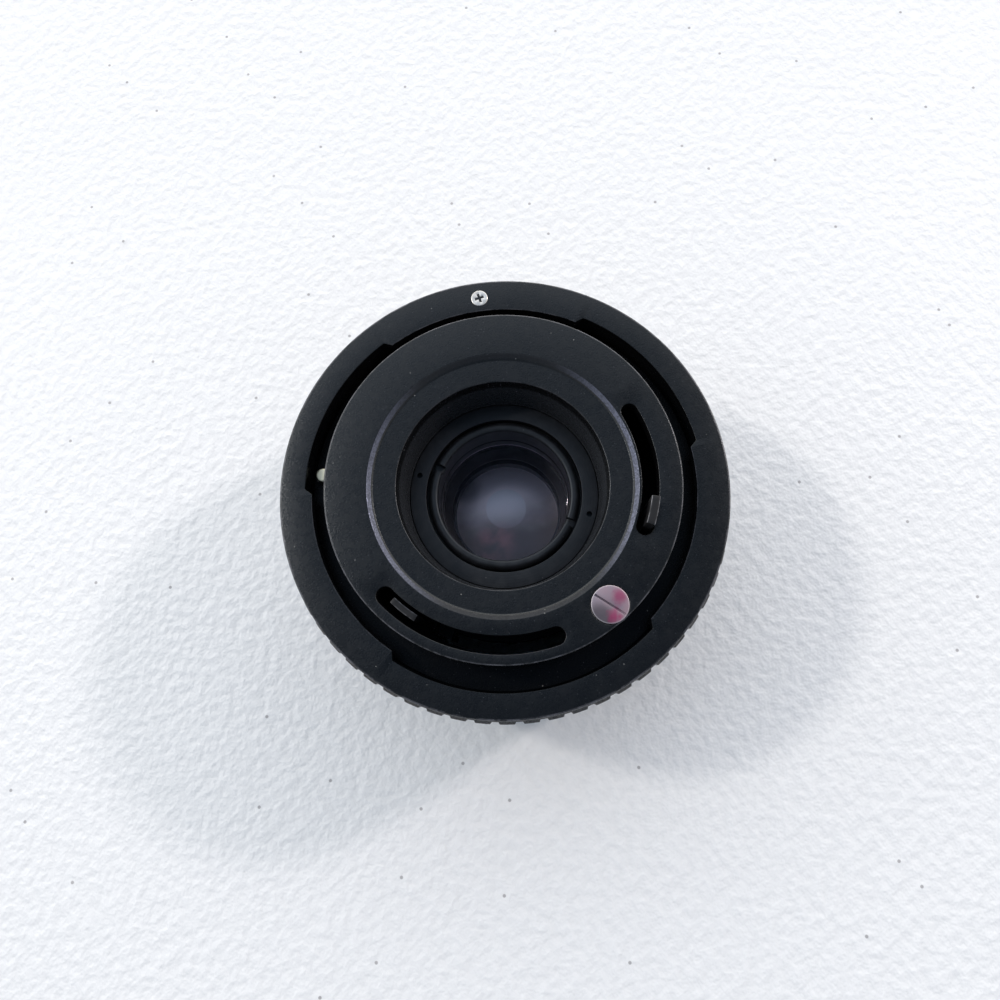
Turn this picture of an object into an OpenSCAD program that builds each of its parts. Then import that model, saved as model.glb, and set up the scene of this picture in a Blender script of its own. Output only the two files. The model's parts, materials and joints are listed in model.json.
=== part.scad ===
// Teleconverter with a breech-lock rear mount.
// Origin on the optical axis at the front mount's rest face, +Z towards the camera side,
// +Y through the index screw. Angles are counter-clockwise from +X, seen from the camera side.

/* [Mount] */
// Diameter of the front throat
throat_d = 48; // [46:0.5:52]
// Wall of the front mount's tube
mount_wall = 1.8; // [1.4:0.1:2.4]
// How far the front lugs reach out from the tube
lug_reach = 1.2; // [0.9:0.1:1.6]
// Thickness of the front lugs
lug_t = 1.4; // [1:0.1:1.8]
// Depth from the rest face to the front mount's flange
lug_space = 4.8; // [4.6:0.1:6]
// Thickness of the front mount's flange
mount_flange_t = 1.6; // [1.2:0.1:2.2]
// How far the front mount's flange reaches out from the tube
mount_flange_reach = 3.6; // [3.4:0.1:3.8]
// Height of the rear register face above the rest face
register_l = 30; // [29:0.5:40]
// Height of the spigot's face above the register face
spigot_h = 7.6; // [6.6:0.1:9]
// Radial clearance of the spigot in a throat
spigot_gap = 0.23; // [0.1:0.01:0.4]

/* [Breech ring] */
// Height of the ring's rear face above the register face
ring_proud = 4; // [3.6:0.1:4.6]
// Height of the ring
ring_h = 13.1; // [12.6:0.1:15]
// Thickness of the ring's teeth
tooth_t = 1.6; // [1.2:0.1:1.8]
// Radial clearance between the teeth and a front mount's tube
tooth_gap = 0.4; // [0.2:0.05:0.6]
// Radial clearance between the ring's gaps and a front mount's lugs
notch_gap = 0.2; // [0.1:0.05:0.4]
// Wall from the gaps to the grip's lands
ring_wall = 4.1; // [3.8:0.1:5]
// How far the ring's smooth rear band lies inside the lands
band_step = 0.6; // [0.4:0.05:0.8]
// Height of the ring's smooth rear band
band_h = 2.4; // [1.5:0.1:3.5]
// Number of grooves round the grip
groove_count = 60; // [40:1:72]
// Radius of a groove's cutter
groove_r = 0.55; // [0.4:0.05:0.7]
// Depth of a groove
groove_depth = 0.34; // [0.2:0.02:0.45]
// Angle of the ring's middle tooth
ring_az = 236.4; // [230:0.1:242]
// Angle from the middle tooth to each of the other teeth
tooth_step = 112; // [108:0.5:116]
// Half angle of the middle tooth
tooth_half_mid = 31.7; // [28:0.1:34]
// Half angle of the other teeth
tooth_half = 29; // [26:0.2:32]
// Angle that a tooth's ramp takes at each end
tooth_ramp = 1.7; // [1:0.1:4]
// Travel of the ring from open to tight, in degrees
ring_turn = 55; // [40:1:58]
// Diameter of the ring screw's head
ring_screw_d = 2.4; // [2:0.1:2.8]

/* [Spigot] */
// Thickness of the spigot's disc
disc_t = 1.6; // [1.2:0.1:2.2]
// Thickness of the spigot's wall
spigot_wall = 1.0; // [0.8:0.05:1.1]
// Diameter of the step in the disc, at its top
step_d = 36; // [34:0.1:36.2]
// Width and depth of the step
step_w = 0.7; // [0.3:0.05:0.8]
// How much wider the funnel is at its mouth than at its foot, on the radius
funnel_flare = 0.8; // [0.4:0.05:1.6]
// Height of the bare rim between the ring's face and the spigot's close-fitting land
land_rise = 0.2; // [0.15:0.05:0.4]
// Angle of the index screw
index_az = 90; // [88:0.5:92]
// Distance of the index screw from the axis
index_r = 21.2; // [20.8:0.1:21.2]
// Diameter of the index screw's head
index_d = 4.9; // [4.5:0.1:5.6]
// Angle of the index screw's slot
index_slot_az = 113.3; // [0:0.1:180]
// Angle of the release pin
pin_az = 313.8; // [310:0.2:320]
// Diameter of the release pin
pin_d = 2; // [1.6:0.1:2]
// How far the release pin stands above the register face
pin_proud = 2; // [1.2:0.1:2.1]
// Travel of the release pin
pin_travel = 1.9; // [1:0.1:2]

/* [Levers] */
// Distance of the aperture lever's middle from the axis
ap_r = 19.5; // [19.4:0.05:19.8]
// Width of the aperture lever's slot
ap_slot_w = 2.24; // [1.8:0.02:2.4]
// Angle of the aperture lever at rest
ap_az = 126.7; // [125:0.1:129]
// Travel of the aperture lever, in degrees
ap_turn = 36; // [20:1:37]
// How far the aperture lever stands above the disc
ap_proud = 2.6; // [1.5:0.1:3.5]
// Distance of the signal lever's middle from the axis
sig_r = 21.2; // [20.9:0.05:21.2]
// Width of the signal lever's slot
sig_slot_w = 2.4; // [1.8:0.05:2.5]
// Angle of the signal lever at rest
sig_az = 12.1; // [10:0.1:14]
// Travel of the signal lever, in degrees
sig_turn = 50; // [30:1:52]
// How far the signal lever's end lies below the disc's face
sig_sunk = 0.7; // [0.3:0.1:1.2]
// Thickness of the signal lever's sheet
sig_lever_t = 0.9; // [0.5:0.05:0.95]
// Half angle of a rear lever
lever_half = 5.4; // [4:0.1:5.6]
// Thickness of the aperture lever's sheet
lever_t = 1.1; // [0.7:0.05:1.15]
// Half angle of a front lever
front_half = 3.2; // [2.4:0.1:4]
// Height of the front levers' ends above the rest face
front_end_z = 7; // [6.6:0.1:9]

/* [Chassis] */
// Depth of the chassis flange below the register face
deck_depth = 17.4; // [16.8:0.1:18]
// Thickness of the chassis flange
deck_t = 1.8; // [1.4:0.1:2.2]
// Wall of the bearing tube
bearing_wall = 1.65; // [1.3:0.05:1.75]
// Height of the lower spacer
low_spacer_h = 2.6; // [2.4:0.1:3]
// Height of the middle spacer
mid_spacer_h = 3.6; // [3.4:0.1:4]
// Thickness of a lever carrier
carrier_t = 1.3; // [1:0.1:1.4]
// Share of the room between bearing tube and aperture lever that a carrier's ring takes
carrier_share = 0.72; // [0.66:0.01:0.76]
// Radial space between a carrier's ring and the spring posts
post_gap = 3; // [2.6:0.1:3.3]
// Wall of the main barrel
barrel_wall = 1.85; // [1.5:0.05:2.1]
// How far the barrel lies inside the ring's lands
barrel_step = 0.5; // [0.2:0.05:0.9]

/* [Optics] */
// Share of the room between lenses and aperture lever that the optical tube's wall takes
tube_share = 0.3202; // [0.29:0.0001:0.34]
// Diameter of the lenses behind the stop
lens_d = 20.8; // [20:0.1:21.2]
// How far the rear element's ring reaches in over the lens
well_wall = 1.05; // [0.9:0.05:1.5]
// How far the black cone that frames the glass reaches in over the lens
cone_reach = 2; // [1.9:0.05:3.8]
// Depth of the rear element's rim below the register face
well_depth = 7.2; // [6.5:0.1:8]
// Thickness of the rear element at its rim
rear_lens_t = 2.2; // [2:0.1:2.6]
// Height of the rear lens spacer
rear_spacer_h = 2.8; // [2.4:0.1:3]
// Thickness of the tube ring
tube_ring_t = 1.5; // [1.2:0.1:2]
// Distance of the spanner holes from the tube ring's outside
spanner_inset = 1.03; // [0.9:0.01:1.4]
// Angle of the first spanner hole
spanner_az = 126; // [0:1:180]
// Diameter of a spanner hole
spanner_d = 0.8; // [0.6:0.05:1]

/* [Clearances] */
// Radial clearance of a running fit
run = 0.06; // [0.03:0.01:0.09]
// Radial clearance of a seated or threaded fit
seat = 0.05; // [0.02:0.01:0.1]
// Clearance between moving and fixed faces
play = 0.05; // [0.03:0.01:0.1]
// Clearance between the ring and its neighbours in view
ring_gap = 0.2; // [0.15:0.05:0.3]

/* [Hidden] */
$fn = 96;

// Colours
black = [0.13, 0.13, 0.14];
dark = [0.2, 0.2, 0.21];
steel = [0.75, 0.75, 0.76];
bright = [0.86, 0.86, 0.85];
brass = [0.72, 0.6, 0.35];
glass = [0.6, 0.6, 0.72, 0.5];
red = [0.75, 0.12, 0.2];

// Small overlap that makes two shapes of one piece a single solid
join = 0.2;
// How far a cutter runs past what it cuts
past = 1;

// Heights
z_reg = register_l;
z_face = z_reg + ring_proud;
z_disc = z_reg + spigot_h;
z_ring0 = z_face - ring_h;
z_tooth = z_face - tooth_t;
z_flange0 = lug_space;
z_flange1 = z_flange0 + mount_flange_t;
z_deck0 = z_reg - deck_depth;
z_deck1 = z_deck0 + deck_t;
barrel_gap = 0.3;
z_barrel1 = z_ring0 - barrel_gap;

// Front mount
throat_r = throat_d / 2;
mount_r = throat_r + mount_wall;
lug_r = mount_r + lug_reach;
mount_flange_r = mount_r + mount_flange_reach;
lug_clear_az = 1.5;
mouth_bevel = 0.3;
mount_screw_r = mount_r + mount_flange_reach / 2;
mount_screw_shank_r = 0.8;
mount_screw_head_r = 1.45;
mount_screw_l = 4.6;

// Breech ring
tooth_r = mount_r + tooth_gap;
notch_r = lug_r + notch_gap;
grip_r = notch_r + ring_wall;
band_r = grip_r - band_step;
tooth_az = [ring_az, ring_az + tooth_step, ring_az - tooth_step];
tooth_halves = [tooth_half_mid, tooth_half, tooth_half];
gap_az = [
    ring_az + tooth_half_mid + (tooth_step - tooth_half_mid - tooth_half) / 2,
    ring_az - tooth_half_mid - (tooth_step - tooth_half_mid - tooth_half) / 2,
    ring_az + 180
];
gap_half_side = (tooth_step - tooth_half_mid - tooth_half) / 2;
gap_half_far = 180 - tooth_step - tooth_half;
gap_halves = [gap_half_side, gap_half_side, gap_half_far];
grip_bevel = 0.4;
foot_h = 1.2;

// Rear body
rim_t = 1;
rim_reach = 1.2;
register_r = lug_r;
rim_r = register_r + rim_reach;
skirt_r = register_r + 0.4;
skirt_wall = 1.5;
chamber_r = skirt_r - skirt_wall;
lip_t = 2;
z_lip = z_reg - lip_t;
z_rim1 = z_reg - 1.7;
z_rim0 = z_rim1 - rim_t;
z_rim_room1 = z_rim1 + ring_gap;
z_keeper1 = z_rim0 - play;
keeper_clear = 0.15;
z_keeper0 = z_ring0 + keeper_clear;
keeper_r = grip_r - 2;
ring_screw_r = notch_r + 1;
ring_screw_shank_r = 0.75;
stop_margin_az = 2.2;

// Spigot cover
spigot_r = throat_r - spigot_gap;
spigot_relief = 0.4;
z_land0 = z_face + land_rise;
cover_bore_r = spigot_r - spigot_wall;
lip_gap = 0.15;
lip_r = spigot_r + lip_gap;
cover_flange_r = chamber_r - 0.1;
cover_flange_t = 1.2;
z_cover0 = z_lip - cover_flange_t;
step_r = step_d / 2;
ap_tab_r = ap_r + 0.4;
ap_tab_in = ap_tab_r - lever_t / 2;
lens_r = lens_d / 2;
lens_bore = lens_r + seat;
tube_r = lens_bore + tube_share * (ap_tab_in - lens_bore);
bearing_bore = tube_r + seat;
funnel_r0 = bearing_bore + 0.05;
funnel_r1 = funnel_r0 + funnel_flare;
bearing_r = bearing_bore + bearing_wall;
lever_room = ap_tab_in - bearing_r;
index_head_t = 1.1;
index_shank_r = 1.3;
index_l = 5.2;
index_boss_r = 2.3;
index_boss_l = 6;
edge_bevel = 0.25;
cover_screw_r = lip_r + 0.95;
cover_screw_az = [20, 100, 190, 260];
cover_screw_shank_r = 0.55;
cover_screw_head_r = 0.95;
cover_screw_head_t = 0.8;
cover_screw_l = 1.6;

// Release pin
pin_r = pin_d / 2;
pin_place_r = register_r - 1.45;
pin_x = pin_place_r * cos(pin_az);
pin_y = pin_place_r * sin(pin_az);
pin_collar_r = 1.38;
pin_chamber_r = 1.45;
pin_boss_r = 2.2;
pin_collar_t = 1.3;
pin_stem_r = 0.55;
pin_stem_l = 1.6;
z_pin1 = z_reg + pin_proud;
z_pin_stop = z_reg - 1.3;
z_collar1 = z_pin_stop - play;
z_collar0 = z_collar1 - pin_collar_t;
plug_t = 0.9;
z_plug0 = z_barrel1 + 0.1;
z_plug1 = z_plug0 + plug_t;
pin_spring_r = 0.98;
pin_spring_wire = 0.14;
pin_spring_turns = 6;

// Bearing stack
z_sig0 = z_deck1 + low_spacer_h + play;
z_sig1 = z_sig0 + carrier_t;
z_mid0 = z_sig1 + play;
z_mid1 = z_mid0 + mid_spacer_h;
z_ap0 = z_mid1 + play;
z_ap1 = z_ap0 + carrier_t;
z_clip0 = z_ap1 + play;
clip_t = 0.6;
clip_groove = 0.4;
clip_free = 0.02;
spacer_w = 0.2 * lever_room;
carrier_bore = bearing_r + run;
carrier_r = bearing_r + carrier_share * lever_room;
foot_r0 = bearing_r + 0.225 * lever_room;
rivet_r = bearing_r + 0.47 * lever_room;
rivet_inner_r = bearing_r + 0.405 * lever_room;
rivet_outer_r = bearing_r + 0.785 * lever_room;
rivet_shank_r = 0.09 * lever_room;
rivet_head_r = 0.146 * lever_room;
rivet_head_t = 0.35;
rivet_az = 0.6 * lever_half;
lever_foot_t = 0.8;
sig_tab_r = sig_r - 0.25;
lever_arm_az = 1;
front_ap_az = ap_az - 2 * lever_half - 0.5;
front_sig_az = sig_az + 2 * lever_half + 0.4;
front_slot_w = 2;
front_slot_az = 1.8;

// Springs of the levers
post_place_r = carrier_r + post_gap;
post_r = 0.45;
ear_r = post_place_r + 0.75;
ear_half = 2.6;
spring_r = 0.5;
spring_wire = 0.13;
spring_turns = 12;
spring_lead = 1.1;
ap_post_fixed_az = 178;
ap_post_az = 212;
sig_post_fixed_az = 308;
sig_post_az = 334;
z_ap_spring = z_ap1 + 1.3;
z_sig_spring = z_sig1 + 1.3;

// Barrel and its screws
barrel_r = grip_r - barrel_step;
barrel_bore = barrel_r - barrel_wall;
front_bore = throat_r + 0.3;
barrel_bevel = 0.7;
body_screw_r = (chamber_r + barrel_bore) / 2;
body_screw_shank_r = 0.8;
body_screw_head_r = 1.4;
body_screw_head_t = 1.2;
body_screw_bite = 3.5;
bead_r = 1.2;
bead_depth = 1.6;
bead_proud = 0.35;
z_bead = z_flange1 + 3;

// Optics
well_r = lens_r - well_wall;
cone_r = lens_r - cone_reach;
cone_edge = 0.5;
well_ring_r = lens_bore - 0.02;
z_well = z_reg - well_depth;
z_lens4 = z_well - rear_lens_t;
z_lens3_top = z_lens4 - rear_spacer_h;
lens3_t = 1.4;
z_lens3 = z_lens3_top - lens3_t;
lens_spacer_h = 2.4;
z_lens2_top = z_lens3 - lens_spacer_h;
lens2_t = 1.2;
z_lens2 = z_lens2_top - lens2_t;
web_t = 0.8;
z_web0 = z_lens2 - web_t;
web_r = lens_r - 1.4;
lens1_t = 2.7;
lens1_r = lens_r - 0.4;
lens1_lip = 1.3;
z_lens1 = z_web0 - lens1_t;
nose_bore = lens1_r + seat;
nose_wall = 1.45;
nose_r = nose_bore + nose_wall;
front_ring_t = 1.2;
z_nose0 = z_lens1 - front_ring_t;
z_tube_seat = z_deck0 + 1.6;
tube_ring_drop = 0.1;
z_tube_ring1 = z_reg - tube_ring_drop;
z_tube1 = z_tube_ring1 - tube_ring_t;
tube_ring_bore = lens_bore + 0.15;
crest_h = 0.5;
crest_w = 0.7;
z_crest = z_reg + 0.05;
well_notch_az = spanner_az - 9.8;
well_notch_w = 1;
well_notch_depth = 1.3;
spanner_depth = 1;
spanner_r = bearing_bore - 0.02 - spanner_inset;
lens1_sag0 = -0.9;
lens1_sag1 = -0.5;
lens2_sag0 = 0.35;
lens2_sag1 = 0.3;
lens3_sag0 = -0.3;
lens3_sag1 = 0.9;
lens4_sag0 = 0.6;
lens4_sag1 = -0.8;
clear_rim = 0.9;

// Shapes

// Ring of revolution from radius a to b, between heights z0 and z1
module tube(a, b, z0, z1) {
    rotate_extrude()
        polygon([[a, z0], [b, z0], [b, z1], [a, z1]]);
}

// Round bar between heights z0 and z1
module bar(r, z0, z1) {
    translate([0, 0, z0])
        cylinder(r = r, h = z1 - z0);
}

// Places its children at radius r and angle az
module at(r, az) {
    rotate([0, 0, az])
        translate([r, 0, 0])
            children();
}

// Wedge between two angles less than 180 degrees apart, as a polygon that reaches past radius r
module wedge(r, a0, a1) {
    mid = (a0 + a1) / 2;
    far = r / cos((a1 - a0) / 4);
    polygon([
        [0, 0],
        [r * cos(a0), r * sin(a0)],
        [far * cos((a0 + mid) / 2), far * sin((a0 + mid) / 2)],
        [r * cos(mid), r * sin(mid)],
        [far * cos((mid + a1) / 2), far * sin((mid + a1) / 2)],
        [r * cos(a1), r * sin(a1)]
    ]);
}

// Part of a ring between radii r0 and r1, angles a0 and a1, heights z0 and z1
module sector(r0, r1, a0, a1, z0, z1) {
    intersection() {
        tube(r0, r1, z0, z1);
        translate([0, 0, z0 - past])
            linear_extrude(height = z1 - z0 + 2 * past)
                wedge(2 * r1, a0, a1);
    }
}

// Arc slot with round ends, of width w on radius r
module arc_slot(r, w, a0, a1, z0, z1) {
    steps = ceil((a1 - a0) / 2);
    outer = [for (i = [0 : steps])
        let (a = a0 + (a1 - a0) * i / steps)
        (r + w / 2) * [cos(a), sin(a)]];
    inner = [for (i = [0 : steps])
        let (a = a1 - (a1 - a0) * i / steps)
        (r - w / 2) * [cos(a), sin(a)]];
    end1 = [for (b = [20 : 20 : 160])
        r * [cos(a1), sin(a1)] + w / 2 * [cos(a1 + b), sin(a1 + b)]];
    end0 = [for (b = [200 : 20 : 340])
        r * [cos(a0), sin(a0)] + w / 2 * [cos(a0 + b), sin(a0 + b)]];
    translate([0, 0, z0])
        linear_extrude(height = z1 - z0)
            polygon(concat(outer, end1, inner, end0));
}

// One tooth of the ring: a ring segment whose ends ramp outwards
module tooth(az, half) {
    ramp_in = half - tooth_ramp;
    root_r = notch_r + join;
    intersection() {
        tube(tooth_r, root_r, z_tooth, z_face);
        translate([0, 0, z_tooth - past])
            linear_extrude(height = tooth_t + 2 * past)
                tooth_plan(az, ramp_in, half, root_r);
    }
}

// Plan of a tooth; its ramps start inside the tooth's circle and run on to the root
module tooth_plan(az, half_in, half_out, root_r) {
    k = (root_r - tooth_r + past) / (notch_r - tooth_r);
    tips = [for (s = [-1, 1])
        let (p = [tooth_r * cos(az + s * half_in), tooth_r * sin(az + s * half_in)])
        let (q = [notch_r * cos(az + s * half_out), notch_r * sin(az + s * half_out)])
        [p - 0.25 * (q - p), p + k * (q - p)]];
    far = 2 * root_r;
    polygon([
        [0, 0], tips[0][0], tips[0][1],
        [far * cos(az - half_in), far * sin(az - half_in)],
        [far * cos(az), far * sin(az)],
        [far * cos(az + half_in), far * sin(az + half_in)],
        tips[1][1], tips[1][0]
    ]);
}

// Points of a lens face from the axis to radius r, bulging by sag
function face_pts(r, z, sag, n = 8) = [for (i = [0 : n])
    let (t = i / n)
    [r * t, z + sag * (1 - t * t)]];

// Lens of radius r between rim heights z0 and z1, its faces clear to radius c
module lens(r, c, z0, z1, sag0, sag1) {
    lower = face_pts(c, z0, sag0);
    upper = face_pts(c, z1, sag1);
    rotate_extrude()
        polygon(concat(lower, [[r, z0], [r, z1]], [for (i = [len(upper) - 1 : -1 : 0]) upper[i]]));
}

// Directions of a path's points, each the mean of the steps before and after it
function headings(p) = [for (i = [0 : len(p) - 1])
    let (d0 = i > 0 ? p[i] - p[i - 1] : p[1] - p[0])
    let (d1 = i < len(p) - 1 ? p[i + 1] - p[i] : d0)
    let (d = d0 / norm(d0) + d1 / norm(d1))
    d / norm(d)];

// Unit vector square to t, as near to n as can be
function square_to(n, t) = let (m = n - (n * t) * t) m / norm(m);

// Round wire along a path of points
module wire_along(p, wire, start, sides = 6) {
    t = headings(p);
    last = len(p) - 1;
    side = [for (i = 0, n = square_to(start, t[0]); i <= last;
        i = i + 1, n = i <= last ? square_to(n, t[i]) : n) n];
    pts = [for (i = [0 : last])
        let (u = cross(t[i], side[i]))
        for (j = [0 : sides - 1])
            let (b = 360 * j / sides)
            p[i] + wire * (cos(b) * side[i] + sin(b) * u)];
    walls = [for (i = [0 : last - 1])
        for (j = [0 : sides - 1])
            let (k = (j + 1) % sides)
            [i * sides + j, (i + 1) * sides + j, (i + 1) * sides + k, i * sides + k]];
    ends = [
        [for (j = [0 : sides - 1]) j],
        [for (j = [sides - 1 : -1 : 0]) last * sides + j]
    ];
    polyhedron(points = pts, faces = concat(walls, ends), convexity = 8);
}

// Front mount

module front_mount() {
    color(steel)
    difference() {
        union() {
            rotate_extrude()
                polygon([
                    [throat_r, mouth_bevel], [throat_r + mouth_bevel, 0], [mount_r, 0],
                    [mount_r, z_flange0], [mount_flange_r, z_flange0],
                    [mount_flange_r, z_flange1], [throat_r, z_flange1]
                ]);
            for (i = [0 : 2])
                sector(mount_r - join, lug_r,
                    gap_az[i] - gap_halves[i] + lug_clear_az,
                    gap_az[i] + gap_halves[i] - lug_clear_az, 0, lug_t);
        }
        for (a = tooth_az)
            at(mount_screw_r, a)
                mount_screw_shape(seat);
    }
}

// Countersunk screw, its head flush with the flange's front face, grown by gap
module mount_screw_shape(gap) {
    head_t = mount_screw_head_r - mount_screw_shank_r;
    translate([0, 0, z_flange0])
        rotate_extrude($fn = 36)
            polygon([
                [0, -gap], [mount_screw_head_r + gap, -gap], [mount_screw_head_r + gap, 0.2],
                [mount_screw_shank_r + gap, head_t + 0.2],
                [mount_screw_shank_r + gap, mount_screw_l + gap], [0, mount_screw_l + gap]
            ]);
}

module front_mount_screws() {
    slot_w = 0.5;
    slot_l = 1.5;
    slot_depth = 0.45;
    color(steel)
    for (a = tooth_az)
        at(mount_screw_r, a)
            difference() {
                mount_screw_shape(0);
                for (turn = [20, 110])
                    rotate([0, 0, turn])
                        translate([-slot_l / 2, -slot_w / 2, z_flange0 - past])
                            cube([slot_l, slot_w, slot_depth + past]);
            }
}

// Barrel, chassis and their screws

module main_barrel() {
    seat_r = mount_flange_r + seat;
    color(black)
    difference() {
        rotate_extrude()
            polygon([
                [seat_r, z_flange0], [barrel_r - barrel_bevel, z_flange0],
                [barrel_r, z_flange0 + barrel_bevel], [barrel_r, z_barrel1 - grip_bevel],
                [barrel_r - grip_bevel, z_barrel1], [barrel_bore, z_barrel1],
                [barrel_bore, z_deck0], [front_bore, z_deck0], [front_bore, z_flange1],
                [seat_r, z_flange1]
            ]);
        for (a = tooth_az)
            at(mount_screw_r, a)
                mount_screw_shape(seat);
        for (a = gap_az)
            at(body_screw_r, a)
                body_screw_shape(seat);
        bead_hole(seat);
    }
}

// Long pan-head screw, its head under the front mount's flange, grown by gap
module body_screw_shape(gap) {
    head1 = z_flange1 + body_screw_head_t + 0.1;
    bar(body_screw_head_r + gap, z_flange1 + 0.1 - (gap > 0 ? past : 0), head1);
    bar(body_screw_shank_r + gap, head1 - join, z_deck1 + body_screw_bite + gap);
}

module body_screws() {
    slot_w = 0.5;
    color(steel)
    for (a = gap_az)
        at(body_screw_r, a)
            difference() {
                body_screw_shape(0);
                translate([-body_screw_head_r - past, -slot_w / 2, z_flange1])
                    cube([2 * body_screw_head_r + 2 * past, slot_w, 0.6]);
            }
}

module bead_hole(gap) {
    rotate([0, 0, index_az])
        translate([barrel_r - bead_depth - gap, 0, z_bead])
            rotate([0, 90, 0])
                cylinder(r = bead_r + gap, h = bead_depth + past, $fn = 36);
}

module front_index_bead() {
    dome_r = (bead_r * bead_r + bead_proud * bead_proud) / (2 * bead_proud);
    color(red)
    rotate([0, 0, index_az])
        translate([barrel_r - bead_depth, 0, z_bead])
            rotate([0, 90, 0])
                rotate_extrude($fn = 36)
                    polygon(concat([[0, 0], [bead_r, 0]],
                        [for (i = [0 : 5])
                            let (t = asin(bead_r / dome_r) * (1 - i / 5))
                            [dome_r * sin(t), bead_depth + bead_proud - dome_r * (1 - cos(t))]]));
}

module inner_chassis() {
    deck_r = barrel_bore - seat;
    shoulder_r = nose_r + 0.1;
    groove_r0 = bearing_r - clip_groove;
    color(dark)
    difference() {
        rotate_extrude()
            polygon([
                [shoulder_r, z_deck0], [deck_r, z_deck0], [deck_r, z_deck1], [bearing_r, z_deck1],
                [bearing_r, z_clip0], [groove_r0, z_clip0], [groove_r0, z_clip0 + clip_t],
                [bearing_r, z_clip0 + clip_t], [bearing_r, z_reg], [bearing_bore, z_reg],
                [bearing_bore, z_tube_seat], [shoulder_r, z_tube_seat]
            ]);
        arc_slot(ap_tab_r, front_slot_w, front_ap_az - front_half - front_slot_az,
            front_ap_az + ap_turn + front_half + front_slot_az, z_deck0 - past, z_deck1 + past);
        arc_slot(sig_tab_r, front_slot_w, front_sig_az - front_half - front_slot_az,
            front_sig_az + sig_turn + front_half + front_slot_az, z_deck0 - past, z_deck1 + past);
        for (a = gap_az)
            at(body_screw_r, a)
                bar(body_screw_shank_r + seat, z_deck0 - past, z_deck1 + past);
        for (p = [[ap_post_fixed_az], [sig_post_fixed_az]])
            at(post_place_r, p[0])
                bar(post_r, z_deck0 - past, z_deck1 + past);
    }
}

// Rear body: sleeve, skirt, rim and register face

module rear_body() {
    sleeve_r = barrel_bore - seat;
    color(black)
    difference() {
        union() {
            rotate_extrude()
                polygon([
                    [chamber_r, z_deck1], [sleeve_r, z_deck1], [sleeve_r, z_barrel1],
                    [skirt_r, z_barrel1], [skirt_r, z_rim0], [rim_r, z_rim0], [rim_r, z_rim1],
                    [register_r, z_rim1], [register_r, z_reg], [lip_r, z_reg], [lip_r, z_lip],
                    [chamber_r, z_lip]
                ]);
            intersection() {
                at(pin_place_r, pin_az)
                    bar(pin_boss_r, z_barrel1, z_reg);
                bar(register_r - join, z_barrel1 - past, z_reg);
                tube(lip_r, rim_r, z_barrel1 - past, z_reg + past);
            }
        }
        at(pin_place_r, pin_az) {
            bar(pin_r + run, z_lip - past, z_reg + past);
            bar(pin_chamber_r, z_barrel1 - past, z_pin_stop);
        }
        sector(notch_r + ring_gap / 2, rim_r + past, ring_az - stop_margin_az,
            ring_az + ring_turn + stop_margin_az, z_rim0 - join, z_rim1 + join);
        for (a = gap_az)
            at(body_screw_r, a)
                bar(body_screw_shank_r + seat, z_deck1 - past, z_deck1 + body_screw_bite + 0.5);
        for (a = cover_screw_az)
            at(cover_screw_r, a)
                bar(cover_screw_shank_r + seat, z_lip - past, z_lip + cover_screw_l);
    }
}

// Spigot cover with its slots, step and funnel

module rear_cover() {
    step_z = z_disc - step_w;
    funnel_wall = 1.4;
    color(black)
    difference() {
        union() {
            rotate_extrude()
                polygon([
                    [funnel_r0, z_reg], [funnel_r0 + funnel_wall, z_reg],
                    [funnel_r1 + funnel_wall, z_disc - step_w - disc_t],
                    [cover_bore_r, z_disc - step_w - disc_t], [cover_bore_r, z_cover0],
                    [cover_flange_r, z_cover0], [cover_flange_r, z_lip],
                    [spigot_r - spigot_relief, z_lip], [spigot_r - spigot_relief, z_land0],
                    [spigot_r, z_land0], [spigot_r, z_disc - edge_bevel],
                    [spigot_r - edge_bevel, z_disc], [step_r, z_disc],
                    [step_r - step_w, step_z], [funnel_r1, step_z]
                ]);
            at(index_r, index_az)
                bar(index_boss_r, z_disc - index_boss_l, z_disc - disc_t);
        }
        arc_slot(ap_r, ap_slot_w, ap_az - lever_half, ap_az + ap_turn + lever_half + 0.6,
            z_reg, z_disc + past);
        arc_slot(sig_r, sig_slot_w, sig_az - lever_half - 2.4, sig_az + sig_turn + lever_half + 1,
            z_reg, z_disc + past);
        at(index_r, index_az) {
            bar(index_d / 2 + seat, z_disc - index_head_t, z_disc + past);
            bar(index_shank_r + seat, z_disc - index_boss_l + 0.6, z_disc);
        }
        at(pin_place_r, pin_az)
            bar(pin_boss_r + 0.15, z_cover0 - past, z_lip + play);
        for (a = cover_screw_az)
            at(cover_screw_r, a)
                bar(cover_screw_shank_r + seat, z_cover0 - past, z_lip + past);
    }
}

module cover_screws() {
    color(steel)
    for (a = cover_screw_az)
        at(cover_screw_r, a)
            difference() {
                union() {
                    bar(cover_screw_head_r, z_cover0 - cover_screw_head_t, z_cover0);
                    bar(cover_screw_shank_r, z_cover0 - join, z_lip + cover_screw_l - 0.2);
                }
                translate([-past - cover_screw_head_r, -0.15, z_cover0 - cover_screw_head_t - past])
                    cube([2 * (past + cover_screw_head_r), 0.3, past + 0.35]);
            }
}

module index_screw() {
    slot_w = 0.28;
    slot_depth = 0.4;
    head_r = index_d / 2;
    rim_bevel = 0.12;
    color(bright)
    at(index_r, index_az)
        difference() {
            rotate_extrude($fn = 72)
                polygon([
                    [0, z_disc - index_l], [index_shank_r, z_disc - index_l],
                    [index_shank_r, z_disc - index_head_t], [head_r, z_disc - index_head_t],
                    [head_r, z_disc - rim_bevel + 0.08], [head_r - rim_bevel, z_disc + 0.08],
                    [0, z_disc + 0.08]
                ]);
            rotate([0, 0, index_slot_az - index_az])
                translate([-head_r * 0.94, -slot_w / 2, z_disc + 0.08 - slot_depth])
                    cube([2 * head_r * 0.94, slot_w, slot_depth + past]);
        }
}

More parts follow.
